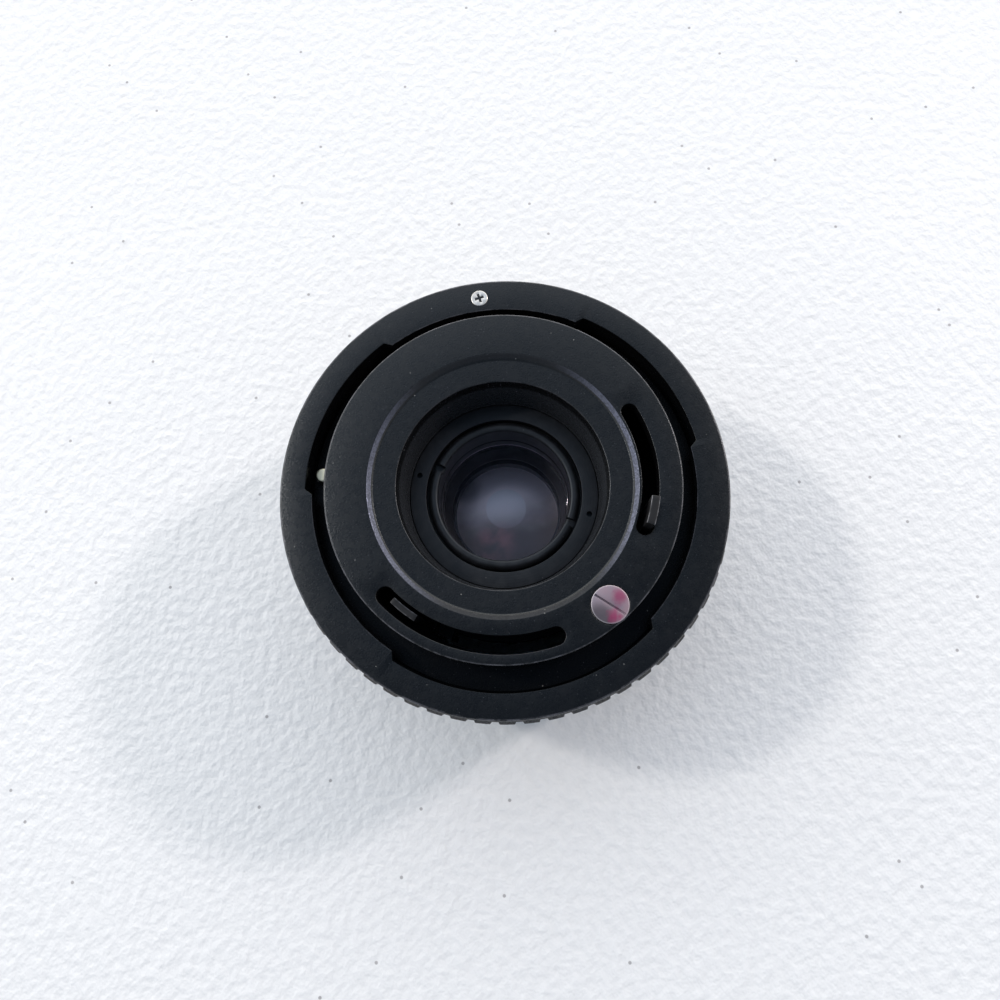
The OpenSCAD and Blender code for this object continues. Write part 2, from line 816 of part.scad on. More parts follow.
// Breech ring

module breech_ring() {
    room_r = rim_r + ring_gap;
    z_band = z_face - band_h;
    face_bevel = 0.2;
    color(black)
    difference() {
        union() {
            rotate_extrude()
                polygon([
                    [keeper_r + seat, z_ring0], [grip_r - grip_bevel, z_ring0],
                    [grip_r, z_ring0 + grip_bevel], [grip_r, z_band - (grip_r - band_r)],
                    [band_r, z_band], [band_r, z_face - face_bevel],
                    [band_r - face_bevel, z_face], [notch_r, z_face], [notch_r, z_rim_room1],
                    [room_r, z_rim_room1], [room_r, z_keeper1], [keeper_r + seat, z_keeper1]
                ]);
            for (i = [0 : 2])
                tooth(tooth_az[i], tooth_halves[i]);
        }
        for (i = [0 : groove_count - 1])
            at(grip_r - groove_depth + groove_r, ring_az + (i + 0.5) * 360 / groove_count)
                translate([0, 0, z_ring0 + foot_h])
                    cylinder(r = groove_r, h = ring_h - foot_h, $fn = 20);
        at(ring_screw_r, ring_az)
            ring_screw_shape(seat);
    }
}

// Countersunk stop screw in the ring's rear face, grown by gap
module ring_screw_shape(gap) {
    head_r = ring_screw_d / 2;
    head_t = head_r - ring_screw_shank_r + 0.25;
    translate([0, 0, z_face])
        rotate_extrude($fn = 48)
            polygon([
                [0, z_rim0 + 0.35 - z_face - gap],
                [ring_screw_shank_r + gap, z_rim0 + 0.35 - z_face - gap],
                [ring_screw_shank_r + gap, -head_t], [head_r + gap, -0.25], [head_r + gap, gap],
                [0, gap]
            ]);
}

module ring_screw() {
    arm_w = 0.34;
    arm_l = 1.35;
    depth = 0.5;
    color(bright)
    at(ring_screw_r, ring_az)
        difference() {
            ring_screw_shape(0);
            for (turn = [10, 100])
                rotate([0, 0, turn])
                    translate([-arm_l / 2, -arm_w / 2, z_face - depth])
                        cube([arm_l, arm_w, depth + past]);
        }
}

module ring_keeper() {
    color(steel)
    tube(skirt_r + run, keeper_r, z_keeper0, z_keeper1);
}

// Release pin, its spring and plug

module release_pin() {
    tip = 0.3;
    color(bright)
    translate([pin_x, pin_y, 0])
        rotate_extrude($fn = 48)
            polygon([
                [0, z_collar0 - pin_stem_l], [pin_stem_r, z_collar0 - pin_stem_l],
                [pin_stem_r, z_collar0], [pin_collar_r, z_collar0], [pin_collar_r, z_collar1],
                [pin_r, z_collar1], [pin_r, z_pin1 - tip], [pin_r - 0.12, z_pin1 - tip / 3],
                [pin_r - tip, z_pin1], [0, z_pin1]
            ]);
}

module release_spring() {
    per_turn = 12;
    n = pin_spring_turns * per_turn;
    rise = (z_collar0 - z_plug1 - 2 * pin_spring_wire) / n;
    color(steel)
    translate([pin_x, pin_y, z_plug1 + pin_spring_wire])
        wire_along([for (i = [0 : n])
            let (a = 360 * i / per_turn)
            [pin_spring_r * cos(a), pin_spring_r * sin(a), rise * i]], pin_spring_wire, [0, 0, 1]);
}

module release_plug() {
    color(brass)
    translate([pin_x, pin_y, 0])
        difference() {
            bar(pin_chamber_r - 0.02, z_plug0, z_plug1);
            translate([-pin_chamber_r - past, -0.2, z_plug0 - past])
                cube([2 * (pin_chamber_r + past), 0.4, past + 0.4]);
        }
}

// Lever carriers

// Carrier ring with an arm for each lever and an ear for the spring
module carrier(z0, z1, rear_az, front_az, r, post_az, z_post) {
    difference() {
        union() {
            tube(carrier_bore, carrier_r, z0, z1);
            sector(carrier_bore + join, r, rear_az - lever_half - lever_arm_az,
                rear_az + lever_half + lever_arm_az, z0, z1);
            sector(carrier_bore + join, r, front_az - front_half, front_az + front_half, z0, z1);
            sector(carrier_bore + join, ear_r, post_az - ear_half, post_az + ear_half, z0, z1);
            at(post_place_r, post_az)
                bar(post_r, z0 + join, z_post);
        }
        for (s = [-1, 1])
            at(rivet_r, rear_az + s * rivet_az)
                bar(rivet_shank_r, z0 - past, z1 + past);
        for (rr = [rivet_inner_r, rivet_outer_r])
            at(rr, front_az)
                bar(rivet_shank_r, z0 - past, z1 + past);
    }
}

// Rear lever: a foot on the carrier and a tab that stands up through the slot
module rear_lever(z_base, z_end, az, r, t) {
    tab_r0 = r - t / 2;
    tab_r1 = r + t / 2;
    difference() {
        union() {
            sector(foot_r0, tab_r1, az - lever_half, az + lever_half,
                z_base, z_base + lever_foot_t);
            sector(tab_r0, tab_r1, az - lever_half, az + lever_half, z_base, z_end);
        }
        for (s = [-1, 1])
            at(rivet_r, az + s * rivet_az)
                bar(rivet_shank_r, z_base - past, z_base + lever_foot_t + past);
    }
}

// Front lever: a foot under the carrier and a tab that hangs down through the chassis
module front_lever(z_base, az, r, t) {
    tab_r0 = r - t / 2;
    tab_r1 = r + t / 2;
    difference() {
        union() {
            sector(foot_r0, tab_r1, az - front_half, az + front_half,
                z_base - lever_foot_t, z_base);
            sector(tab_r0, tab_r1, az - front_half, az + front_half, front_end_z, z_base);
        }
        for (rr = [rivet_inner_r, rivet_outer_r])
            at(rr, az)
                bar(rivet_shank_r, z_base - lever_foot_t - past, z_base + past);
    }
}

// Four rivets: two through the rear lever's foot and two through the front lever's
module rivets(z0, z1, rear_az, front_az) {
    for (s = [-1, 1])
        at(rivet_r, rear_az + s * rivet_az) {
            bar(rivet_shank_r, z0, z1 + lever_foot_t + join);
            bar(rivet_head_r, z1 + lever_foot_t, z1 + lever_foot_t + rivet_head_t);
        }
    for (rr = [rivet_inner_r, rivet_outer_r])
        at(rr, front_az) {
            bar(rivet_shank_r, z0 - lever_foot_t - join, z1);
            bar(rivet_head_r, z0 - lever_foot_t - rivet_head_t, z0 - lever_foot_t);
        }
}

// Extension spring with a hook round each of two posts at the same height
module post_spring(az0, az1, z) {
    p0 = [post_place_r * cos(az0), post_place_r * sin(az0)];
    p1 = [post_place_r * cos(az1), post_place_r * sin(az1)];
    span = norm(p1 - p0);
    heading = atan2(p1[1] - p0[1], p1[0] - p0[0]);
    hook_r = post_r + 0.05 + spring_wire;
    per_turn = 10;
    n = spring_turns * per_turn;
    rise = (span - 2 * spring_lead) / n;
    hook0 = [for (a = [345 : -30 : 90]) [hook_r * cos(a), hook_r * sin(a), 0]];
    body = [for (i = [0 : n])
        let (a = 360 * i / per_turn)
        [spring_lead + rise * i, spring_r * cos(a), spring_r * sin(a)]];
    hook1 = [for (a = [75 : -30 : -165]) [span + hook_r * cos(a), hook_r * sin(a), 0]];
    translate([p0[0], p0[1], z])
        rotate([0, 0, heading])
            wire_along(concat(hook0, body, hook1), spring_wire, [0, 0, 1]);
}

module aperture_carrier() {
    color(dark)
    carrier(z_ap0, z_ap1, ap_az, front_ap_az, ap_tab_r, ap_post_az, z_ap_spring + spring_r);
}

module aperture_rear_lever() {
    color(black)
    rear_lever(z_ap1, z_disc + ap_proud, ap_az, ap_tab_r, lever_t);
}

module aperture_front_lever() {
    color(black)
    front_lever(z_ap0, front_ap_az, ap_tab_r, lever_t);
}

module aperture_rivets() {
    color(steel)
    rivets(z_ap0, z_ap1, ap_az, front_ap_az);
}

module aperture_spring() {
    color(steel)
    post_spring(ap_post_fixed_az, ap_post_az, z_ap_spring);
}

module signal_carrier() {
    color(dark)
    carrier(z_sig0, z_sig1, sig_az, front_sig_az, sig_tab_r, sig_post_az,
        z_sig_spring + spring_r);
}

module signal_rear_lever() {
    color(black)
    rear_lever(z_sig1, z_disc - sig_sunk, sig_az, sig_tab_r, sig_lever_t);
}

module signal_front_lever() {
    color(black)
    front_lever(z_sig0, front_sig_az, sig_tab_r, sig_lever_t);
}

module signal_rivets() {
    color(steel)
    rivets(z_sig0, z_sig1, sig_az, front_sig_az);
}

module signal_spring() {
    color(steel)
    post_spring(sig_post_fixed_az, sig_post_az, z_sig_spring);
}

module lower_spacer() {
    color(brass)
    tube(bearing_r + seat, bearing_r + spacer_w, z_deck1, z_sig0 - play);
}

module middle_spacer() {
    color(brass)
    tube(bearing_r + seat, bearing_r + spacer_w, z_mid0, z_mid1);
}

// Open ring in the bearing tube's groove
module carrier_clip() {
    gap_half = 20;
    color(steel)
    difference() {
        tube(bearing_r - clip_groove + clip_free, bearing_r + spacer_w, z_clip0 + clip_free,
            z_clip0 + clip_t - clip_free);
        translate([0, 0, z_clip0 - past])
            linear_extrude(height = clip_t + 2 * past)
                wedge(2 * bearing_r, 270 - gap_half, 270 + gap_half);
    }
}

module spring_posts() {
    color(steel) {
        at(post_place_r, ap_post_fixed_az)
            bar(post_r, z_deck0, z_ap_spring + spring_r);
        at(post_place_r, sig_post_fixed_az)
            bar(post_r, z_deck0, z_sig_spring + spring_r);
    }
}

// Optics

module optical_tube() {
    color(black)
    rotate_extrude()
        polygon([
            [nose_bore, z_nose0], [nose_r, z_nose0], [nose_r, z_tube_seat], [tube_r, z_tube_seat],
            [tube_r, z_tube1], [lens_bore, z_tube1], [lens_bore, z_lens2], [web_r, z_lens2],
            [web_r, z_web0], [nose_bore, z_web0]
        ]);
}

module tube_ring() {
    color(black)
    difference() {
        tube(tube_ring_bore, bearing_bore - 0.02, z_tube1, z_tube_ring1);
        for (turn = [0, 180])
            at(spanner_r, spanner_az + turn)
                translate([0, 0, z_tube_ring1 - spanner_depth])
                    cylinder(r = spanner_d / 2, h = spanner_depth + past, $fn = 24);
    }
}

module rear_element_ring() {
    color(black)
    difference() {
        rotate_extrude()
            polygon([
                [well_r, z_well], [well_ring_r, z_well], [well_ring_r, z_crest - crest_h],
                [well_r + crest_w, z_crest], [well_r, z_crest]
            ]);
        for (turn = [0, 180])
            rotate([0, 0, well_notch_az + turn])
                translate([well_r - past, -well_notch_w / 2, z_crest - well_notch_depth])
                    cube([well_ring_r - well_r + 2 * past, well_notch_w, well_notch_depth + past]);
    }
}

module front_element_ring() {
    color(black)
    tube(lens1_r - lens1_lip, nose_bore - 0.02, z_nose0, z_lens1);
}

module front_element() {
    color(glass)
    lens(lens1_r, lens1_r - lens1_lip, z_lens1, z_web0, lens1_sag0, lens1_sag1);
}

module second_element() {
    color(glass)
    lens(lens_r, web_r - clear_rim, z_lens2, z_lens2_top, lens2_sag0, lens2_sag1);
}

module third_element() {
    color(glass)
    lens(lens_r, web_r - clear_rim - play, z_lens3, z_lens3_top, lens3_sag0, lens3_sag1);
}

module rear_element() {
    color(glass)
    lens(lens_r, well_r, z_lens4, z_well, lens4_sag0, lens4_sag1);
}

module middle_lens_spacer() {
    color(black)
    tube(web_r - clear_rim, lens_r, z_lens2_top, z_lens3);
}

module rear_lens_spacer() {
    color(black)
    rotate_extrude()
        polygon([
            [cone_r, z_lens3_top], [lens_r, z_lens3_top], [lens_r, z_lens4],
            [well_r, z_lens4], [cone_r, z_lens3_top + cone_edge]
        ]);
}

front_mount();
front_mount_screws();
main_barrel();
front_index_bead();
body_screws();
inner_chassis();
rear_body();
rear_cover();
cover_screws();
index_screw();
breech_ring();
ring_keeper();
ring_screw();
release_pin();
release_spring();
release_plug();
aperture_carrier();
aperture_rear_lever();
aperture_front_lever();
aperture_rivets();
aperture_spring();
signal_carrier();
signal_rear_lever();
signal_front_lever();
signal_rivets();
signal_spring();
lower_spacer();
middle_spacer();
carrier_clip();
spring_posts();
optical_tube();
tube_ring();
rear_element_ring();
front_element_ring();
front_element();
second_element();
third_element();
rear_element();
middle_lens_spacer();
rear_lens_spacer();
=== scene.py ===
"""Looks of a black camera teleconverter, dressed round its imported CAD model.

All sizes are in millimetres and degrees, in the frame of the CAD part: the optical axis is Z, the
lens side stands on z = 0 and the index screw lies at 90 degrees. Meshes are written in metres.
"""

from __future__ import annotations

import json
import logging
import math
from dataclasses import dataclass
from enum import Enum
from typing import Callable, Iterable, Sequence

import bmesh
import bpy
from mathutils import Matrix, Vector

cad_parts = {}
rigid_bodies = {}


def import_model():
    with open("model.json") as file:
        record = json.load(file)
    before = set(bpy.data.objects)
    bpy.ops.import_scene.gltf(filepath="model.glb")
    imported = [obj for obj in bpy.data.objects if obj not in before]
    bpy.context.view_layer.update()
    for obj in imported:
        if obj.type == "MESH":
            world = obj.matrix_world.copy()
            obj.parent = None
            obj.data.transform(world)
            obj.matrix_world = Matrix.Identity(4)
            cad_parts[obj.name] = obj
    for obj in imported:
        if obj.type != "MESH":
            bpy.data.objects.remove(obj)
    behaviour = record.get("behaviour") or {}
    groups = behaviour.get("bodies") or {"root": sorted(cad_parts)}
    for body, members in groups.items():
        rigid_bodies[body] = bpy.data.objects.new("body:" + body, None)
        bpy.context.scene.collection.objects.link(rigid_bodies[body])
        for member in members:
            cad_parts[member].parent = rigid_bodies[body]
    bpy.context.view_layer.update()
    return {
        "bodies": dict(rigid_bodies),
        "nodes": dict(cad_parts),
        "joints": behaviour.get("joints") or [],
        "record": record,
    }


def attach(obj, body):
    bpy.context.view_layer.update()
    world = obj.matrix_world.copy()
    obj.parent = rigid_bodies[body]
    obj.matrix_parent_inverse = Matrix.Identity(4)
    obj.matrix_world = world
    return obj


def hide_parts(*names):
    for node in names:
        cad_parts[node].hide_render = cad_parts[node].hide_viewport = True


log = logging.getLogger("teleconverter")

MM = 0.001
WELD = 2e-7  # vertices closer than this many metres become one
SHARP_ANGLE = 32.0  # edges that turn more than this many degrees stay sharp
PHOTO_TURN = 147.8  # turn about Z from the photograph's axes to the part's, in degrees

Point2 = tuple[float, float]
Colour = tuple[float, float, float]
Profile = list[Point2]


# Mesh helpers


def polar(radius: float, angle: float) -> Point2:
    """Point at a radius and an angle in degrees."""
    return radius * math.cos(math.radians(angle)), radius * math.sin(math.radians(angle))


def standing(point: Point2) -> Matrix:
    """Place of an upright axis through a level point, in millimetres."""
    return Matrix.Translation((*point, 0.0))


def apart(first: float, second: float) -> float:
    """Angle between two level directions, in degrees."""
    return abs((first - second + 180.0) % 360.0 - 180.0)


def spread(start: float, end: float, steps: int) -> list[float]:
    """Evenly spaced values from start to end, both included."""
    return [start + (end - start) * i / steps for i in range(steps + 1)]


def softened(corners: Sequence[tuple[float, ...]], radius: float, steps: int = 4) -> Profile:
    """Rounds the corners of a closed profile.

    Args:
        corners: (r, z) or (r, z, own radius) of each corner.
        radius: how far a rounding reaches along each side of a corner.
        steps: segments of each rounding.

    Returns:
        The points of the rounded profile, in the same order.
    """
    out: Profile = []
    count = len(corners)
    for i, corner in enumerate(corners):
        here = Vector(corner[:2])
        before = Vector(corners[i - 1][:2]) - here
        after = Vector(corners[(i + 1) % count][:2]) - here
        reach = corner[2] if len(corner) > 2 else radius
        reach = min(reach, 0.45 * before.length, 0.45 * after.length)
        if reach < 1e-4:
            out.append((here.x, here.y))
            continue
        a = here + before.normalized() * reach
        b = here + after.normalized() * reach
        for t in spread(0, 1, steps):
            p = a * (1 - t) ** 2 + here * 2 * t * (1 - t) + b * t**2
            out.append((p.x, p.y))
    return out


def ring_loop(bm: bmesh.types.BMesh, points: Iterable[Point2], z: float) -> list:
    """Vertices of a loop at one height."""
    return [bm.verts.new((x * MM, y * MM, z * MM)) for x, y in points]


def bridge(bm: bmesh.types.BMesh, first: list, second: list) -> None:
    """Quads between two closed loops with the same number of vertices."""
    for i in range(len(first)):
        j = (i + 1) % len(first)
        bm.faces.new((first[i], first[j], second[j], second[i]))


def fill_between(bm: bmesh.types.BMesh, loops: Sequence[list]) -> None:
    """Fills a flat face whose edge is the first loop and whose holes are the others."""
    edges = []
    for loop in loops:
        for i, vert in enumerate(loop):
            other = loop[(i + 1) % len(loop)]
            edges.append(bm.edges.get((vert, other)) or bm.edges.new((vert, other)))
    bmesh.ops.triangle_fill(bm, edges=edges, use_beauty=True)


def in_scene(name: str, data: bpy.types.ID) -> bpy.types.Object:
    """Makes an object of a mesh, lamp or camera and puts it into the scene."""
    thing = bpy.data.objects.new(name, data)
    bpy.context.scene.collection.objects.link(thing)
    return thing


def shade(mesh: bpy.types.Mesh, sharp: float) -> None:
    """Shades a mesh smooth, except at edges that turn more than an angle in degrees."""
    mesh.polygons.foreach_set("use_smooth", [True] * len(mesh.polygons))
    mesh.set_sharp_from_angle(angle=math.radians(sharp))


def finished_object(
    name: str, bm: bmesh.types.BMesh, sharp: float = SHARP_ANGLE
) -> bpy.types.Object:
    """Welds, orients and shades a mesh and makes its object.

    Args:
        name: name of the piece.
        bm: the mesh so far. It is freed.
        sharp: edges that turn more than this many degrees stay sharp.

    Returns:
        The object, at the origin and unturned.
    """
    bmesh.ops.remove_doubles(bm, verts=bm.verts, dist=WELD)
    bmesh.ops.recalc_face_normals(bm, faces=bm.faces)
    mesh = bpy.data.meshes.new(name)
    bm.to_mesh(mesh)
    bm.free()
    shade(mesh, sharp)
    return in_scene(name, mesh)


def polar_shell(
    name: str,
    profile_at: Callable[[float], Profile],
    angles: Sequence[float],
    sharp: float = SHARP_ANGLE,
) -> bpy.types.Object:
    """Closed shell whose section may change with the angle round the axis.

    Args:
        name: name of the piece.
        profile_at: gives the closed section at an angle, always with the same number of points.
        angles: the angles of the sections, for a full turn.
        sharp: edges that turn more than this many degrees stay sharp.

    Returns:
        The shell's object.
    """
    bm = bmesh.new()
    sections = []
    for angle in angles:
        c, s = math.cos(math.radians(angle)), math.sin(math.radians(angle))
        section = profile_at(angle)
        sections.append([bm.verts.new((r * c * MM, r * s * MM, z * MM)) for r, z in section])
    for i, section in enumerate(sections):
        bridge(bm, section, sections[(i + 1) % len(sections)])
    return finished_object(name, bm, sharp)


def revolved(
    name: str, profile: Profile, steps: int = 240, sharp: float = SHARP_ANGLE
) -> bpy.types.Object:
    """Shell of revolution about the axis."""
    angles = [360 * i / steps for i in range(steps)]
    return polar_shell(name, lambda angle: profile, angles, sharp)


def polar_prism(
    bm: bmesh.types.BMesh,
    profile: Profile,
    start: float,
    end: float,
    steps: int,
    taper: float = 0.0,
) -> None:
    """Adds a section swept from one angle to another, with flat ends, to a mesh.

    Args:
        bm: the mesh.
        profile: the closed section.
        start: first angle in degrees.
        end: last angle in degrees.
        steps: segments of the sweep.
        taper: share by which the sweep widens for each millimetre inwards.
    """
    outer = max(r for r, _ in profile)
    middle = (start + end) / 2
    sections = []
    for angle in spread(start, end, steps):
        section = []
        for r, z in profile:
            x, y = polar(r, middle + (angle - middle) * (1 + taper * (outer - r)))
            section.append(bm.verts.new((x * MM, y * MM, z * MM)))
        sections.append(section)
    for first, second in zip(sections, sections[1:]):
        bridge(bm, first, second)
    bm.faces.new(sections[0])
    bm.faces.new(list(reversed(sections[-1])))


def settled(piece: bpy.types.Object) -> bpy.types.Object:
    """Turns a piece with modifiers into a plain mesh without them."""
    graph = bpy.context.evaluated_depsgraph_get()
    mesh = bpy.data.meshes.new_from_object(piece.evaluated_get(graph))
    piece.modifiers.clear()
    piece.data = mesh
    mesh.name = piece.name
    shade(mesh, SHARP_ANGLE)
    return piece


def with_soft_edges(
    piece: bpy.types.Object, width: float, segments: int = 3, angle: float = 40.0
) -> bpy.types.Object:
    """Rounds every edge of a piece that turns more than an angle."""
    bevel = piece.modifiers.new("soft_edges", "BEVEL")
    bevel.width = width * MM
    bevel.segments = segments
    bevel.limit_method = "ANGLE"
    bevel.angle_limit = math.radians(angle)
    return settled(piece)


def cut(piece: bpy.types.Object, cutters: Sequence[bpy.types.Object]) -> bpy.types.Object:
    """Cuts other shapes out of a piece and removes them."""
    for cutter in cutters:
        boolean = piece.modifiers.new("cut", "BOOLEAN")
        boolean.operation = "DIFFERENCE"
        boolean.solver = "EXACT"
        boolean.object = cutter
    settled(piece)
    for cutter in cutters:
        bpy.data.objects.remove(cutter)
    return piece


def block(
    name: str, centre: tuple[float, float, float], size: tuple[float, float, float], turn: float
) -> bpy.types.Object:
    """Box cutter about a centre, turned about Z by an angle in degrees."""
    bm = bmesh.new()
    bmesh.ops.create_cube(bm, size=1.0)
    scale = Matrix.Diagonal((*[s * MM for s in size], 1.0))
    place = Matrix.Translation(Vector(centre) * MM) @ Matrix.Rotation(math.radians(turn), 4, "Z")
    bm.transform(place @ scale)
    return finished_object(name, bm)


def peg(name: str, profile: Profile, place: Matrix, steps: int = 64) -> bpy.types.Object:
    """Turned pin on its own axis, put in place by a matrix in millimetres.

    Args:
        name: name of the piece.
        profile: closed section, with radii from the pin's own axis.
        place: where the pin's axis and origin go.
        steps: sections round the axis.

    Returns:
        The pin's object, with its place in its mesh.
    """
    piece = revolved(name, profile, steps)
    moved = place.copy()
    moved.translation = place.translation * MM
    piece.data.transform(moved)
    return piece


class Nodes:
    """Short calls that add nodes to one tree."""

    def __init__(self, tree: bpy.types.NodeTree) -> None:
        """Starts with the tree emptied."""
        self.tree = tree
        tree.nodes.clear()

    def node(self, kind: str, inputs: dict | None = None, **settings: object) -> bpy.types.Node:
        """Adds a node.

        Args:
            kind: Blender's name of the node type.
            inputs: for each input, by name or number, a value or the output that feeds it.
            settings: other properties of the node.

        Returns:
            The node.
        """
        node = self.tree.nodes.new(kind)
        for key, value in settings.items():
            setattr(node, key, value)
        for key, value in (inputs or {}).items():
            if isinstance(value, bpy.types.NodeSocket):
                self.tree.links.new(value, node.inputs[key])
            else:
                node.inputs[key].default_value = value
        return node

    def math(self, operation: str, *values: object) -> bpy.types.NodeSocket:
        """One sum of numbers or outputs."""
        inputs = dict(enumerate(values))
        return self.node("ShaderNodeMath", inputs, operation=operation).outputs[0]

    def times(self, *values: object) -> bpy.types.NodeSocket:
        """Product of two numbers or outputs."""
        return self.math("MULTIPLY", *values)

    def plus(self, *values: object) -> bpy.types.NodeSocket:
        """Sum of two numbers or outputs."""
        return self.math("ADD", *values)

    def ramp(
        self, value: bpy.types.NodeSocket, low: float, high: float, to: Point2 = (0.0, 1.0)
    ) -> bpy.types.NodeSocket:
        """Smooth step of a value between two limits."""
        ends = {"From Min": low, "From Max": high, "To Min": to[0], "To Max": to[1]}
        node = self.node(
            "ShaderNodeMapRange", {"Value": value, **ends}, interpolation_type="SMOOTHSTEP"
        )
        return node.outputs["Result"]

    def lean(self, place: bpy.types.NodeSocket, angle: float) -> bpy.types.NodeSocket:
        """Share of a place or direction that points to a level angle."""
        inputs = {0: place, 1: (*polar(1.0, angle), 0.0)}
        node = self.node("ShaderNodeVectorMath", inputs, operation="DOT_PRODUCT")
        return node.outputs["Value"]


def repeated_round_axis(
    name: str, source: bpy.types.Object, count: int, first: float, material: bpy.types.Material
) -> bpy.types.Object:
    """Copies a piece evenly round the axis with Geometry Nodes.

    Args:
        name: name of the new piece.
        source: the piece that is copied. It is removed.
        count: number of copies.
        first: angle of the first copy, in degrees.
        material: finish of the copies.

    Returns:
        A plain mesh object that holds all the copies.
    """
    tree = bpy.data.node_groups.new(name + "_round_axis", "GeometryNodeTree")
    face = tree.interface
    face.new_socket("Geometry", in_out="OUTPUT", socket_type="NodeSocketGeometry")
    sockets = {
        "Source": ("NodeSocketObject", source),
        "Count": ("NodeSocketInt", count),
        "First Angle": ("NodeSocketFloat", math.radians(first)),
        "Finish": ("NodeSocketMaterial", material),
    }
    made = {
        label: face.new_socket(label, in_out="INPUT", socket_type=kind)
        for label, (kind, _) in sockets.items()
    }
    n = Nodes(tree)
    given = n.node("NodeGroupInput").outputs
    points = n.node("GeometryNodePoints", {"Count": given["Count"]})
    info = n.node("GeometryNodeObjectInfo", {"Object": given["Source"]})
    index = n.node("GeometryNodeInputIndex").outputs[0]
    step = n.math("DIVIDE", 2 * math.pi, given["Count"])
    angle = n.math("MULTIPLY_ADD", index, step, given["First Angle"])
    vector = n.node("ShaderNodeCombineXYZ", {"Z": angle})
    turn = n.node("FunctionNodeEulerToRotation", {0: vector.outputs[0]})
    copies = n.node("GeometryNodeInstanceOnPoints", {
        "Points": points.outputs[0],
        "Instance": info.outputs["Geometry"],
        "Rotation": turn.outputs[0],
    })
    real = n.node("GeometryNodeRealizeInstances", {0: copies.outputs[0]})
    paint = {"Geometry": real.outputs[0], "Material": given["Finish"]}
    n.node("NodeGroupOutput", {0: n.node("GeometryNodeSetMaterial", paint).outputs[0]})

    piece = in_scene(name, bpy.data.meshes.new(name))
    modifier = piece.modifiers.new("round_axis", "NODES")
    modifier.node_group = tree
    for label, (_, value) in sockets.items():
        modifier[made[label].identifier] = value
    settled(piece)
    bpy.data.objects.remove(source)
    return piece


# Finishes


class Shader(Nodes):
    """Short calls that build one material's nodes."""

    def __init__(self, name: str) -> None:
        """Starts an empty material."""
        self.material = bpy.data.materials.new(name)
        self.material.use_nodes = True
        super().__init__(self.material.node_tree)
        self.output = self.node("ShaderNodeOutputMaterial")
        self.place = self.node("ShaderNodeTexCoord").outputs["Object"]

    def noise(self, scale: float, detail: float = 3.0, rough: float = 0.55) -> bpy.types.NodeSocket:
        """Noise with that many features to a metre."""
        inputs = {"Vector": self.place, "Scale": scale, "Detail": detail, "Roughness": rough}
        return self.node("ShaderNodeTexNoise", inputs).outputs[0]

    def mix(self, factor: object, low: object, high: object) -> bpy.types.NodeSocket:
        """Colour between two colours."""
        low, high = (
            (*c, 1.0) if isinstance(c, tuple) and len(c) == 3 else c for c in (low, high)
        )
        node = self.node("ShaderNodeMix", {0: factor, 6: low, 7: high}, data_type="RGBA")
        return node.outputs[2]

    def from_axis(self, x: float = 0.0, y: float = 0.0) -> bpy.types.NodeSocket:
        """Distance in metres from an upright line through a point given in millimetres."""
        kind = "ShaderNodeVectorMath"
        offset = {0: self.place, 1: (-x * MM, -y * MM, 0.0)}
        shifted = self.node(kind, offset, operation="ADD").outputs[0]
        flat = self.node(kind, {0: shifted, 1: (1.0, 1.0, 0.0)}, operation="MULTIPLY").outputs[0]
        return self.node(kind, {0: flat}, operation="LENGTH").outputs["Value"]

    def height(self) -> bpy.types.NodeSocket:
        """Height over the rest face in metres."""
        return self.node("ShaderNodeSeparateXYZ", {0: self.place}).outputs["Z"]

    def along(self, angle: float) -> bpy.types.NodeSocket:
        """Distance in metres along a level direction."""
        return self.lean(self.place, angle)

    def near(
        self, reach: float, angle: float, full: float, none: float, most: float = 1.0
    ) -> bpy.types.NodeSocket:
        """Mask round a point at a radius and an angle of the photograph.

        Args:
            reach: the point's radius in millimetres.
            angle: the point's angle, 0 to the photograph's right.
            full: distance in millimetres up to which the mask is full.
            none: distance in millimetres from which it is 0.
            most: the full mask.

        Returns:
            The mask.
        """
        distance = self.from_axis(*polar(reach, angle + PHOTO_TURN))
        return self.ramp(distance, full * MM, none * MM, (most, 0.0))

    def band(
        self, value: bpy.types.NodeSocket, low: float, high: float, soft: float
    ) -> bpy.types.NodeSocket:
        """1 between two limits in millimetres and 0 outside them, with soft edges."""
        rise = self.ramp(value, (low - soft) * MM, (low + soft) * MM)
        fall = self.ramp(value, (high - soft) * MM, (high + soft) * MM, (1.0, 0.0))
        return self.times(rise, fall)

    def specks(
        self, per_metre: float, size: float, share: float, flat: bool = False
    ) -> bpy.types.NodeSocket:
        """Mask of small scattered specks.

        Args:
            per_metre: cells to a metre, each with at most one speck.
            size: radius of a speck as a share of its cell.
            share: share of the cells that hold a speck.
            flat: whether the cells lie in a level plane.

        Returns:
            1 on a speck and 0 elsewhere.
        """
        cells = self.node(
            "ShaderNodeTexVoronoi",
            {"Vector": self.place, "Scale": per_metre, "Randomness": 1.0},
            voronoi_dimensions="2D" if flat else "3D",
        )
        near = self.ramp(cells.outputs["Distance"], size * 0.5, size, (1.0, 0.0))
        pick = self.node("ShaderNodeSeparateColor", {0: cells.outputs["Color"]}).outputs[0]
        chosen = self.math("GREATER_THAN", pick, 1.0 - share)
        return self.times(near, chosen)

    def bump(
        self, height: bpy.types.NodeSocket, strength: float, distance: float
    ) -> bpy.types.NodeSocket:
        """Bump of a height field, its distance in millimetres."""
        inputs = {"Height": height, "Strength": strength, "Distance": distance * MM}
        return self.node("ShaderNodeBump", inputs).outputs[0]

    def surface(self, inputs: dict) -> bpy.types.Material:
        """Ends the tree in a Principled shader and returns the material."""
        shader = self.node("ShaderNodeBsdfPrincipled", inputs)
        self.tree.links.new(shader.outputs[0], self.output.inputs["Surface"])
        return self.material


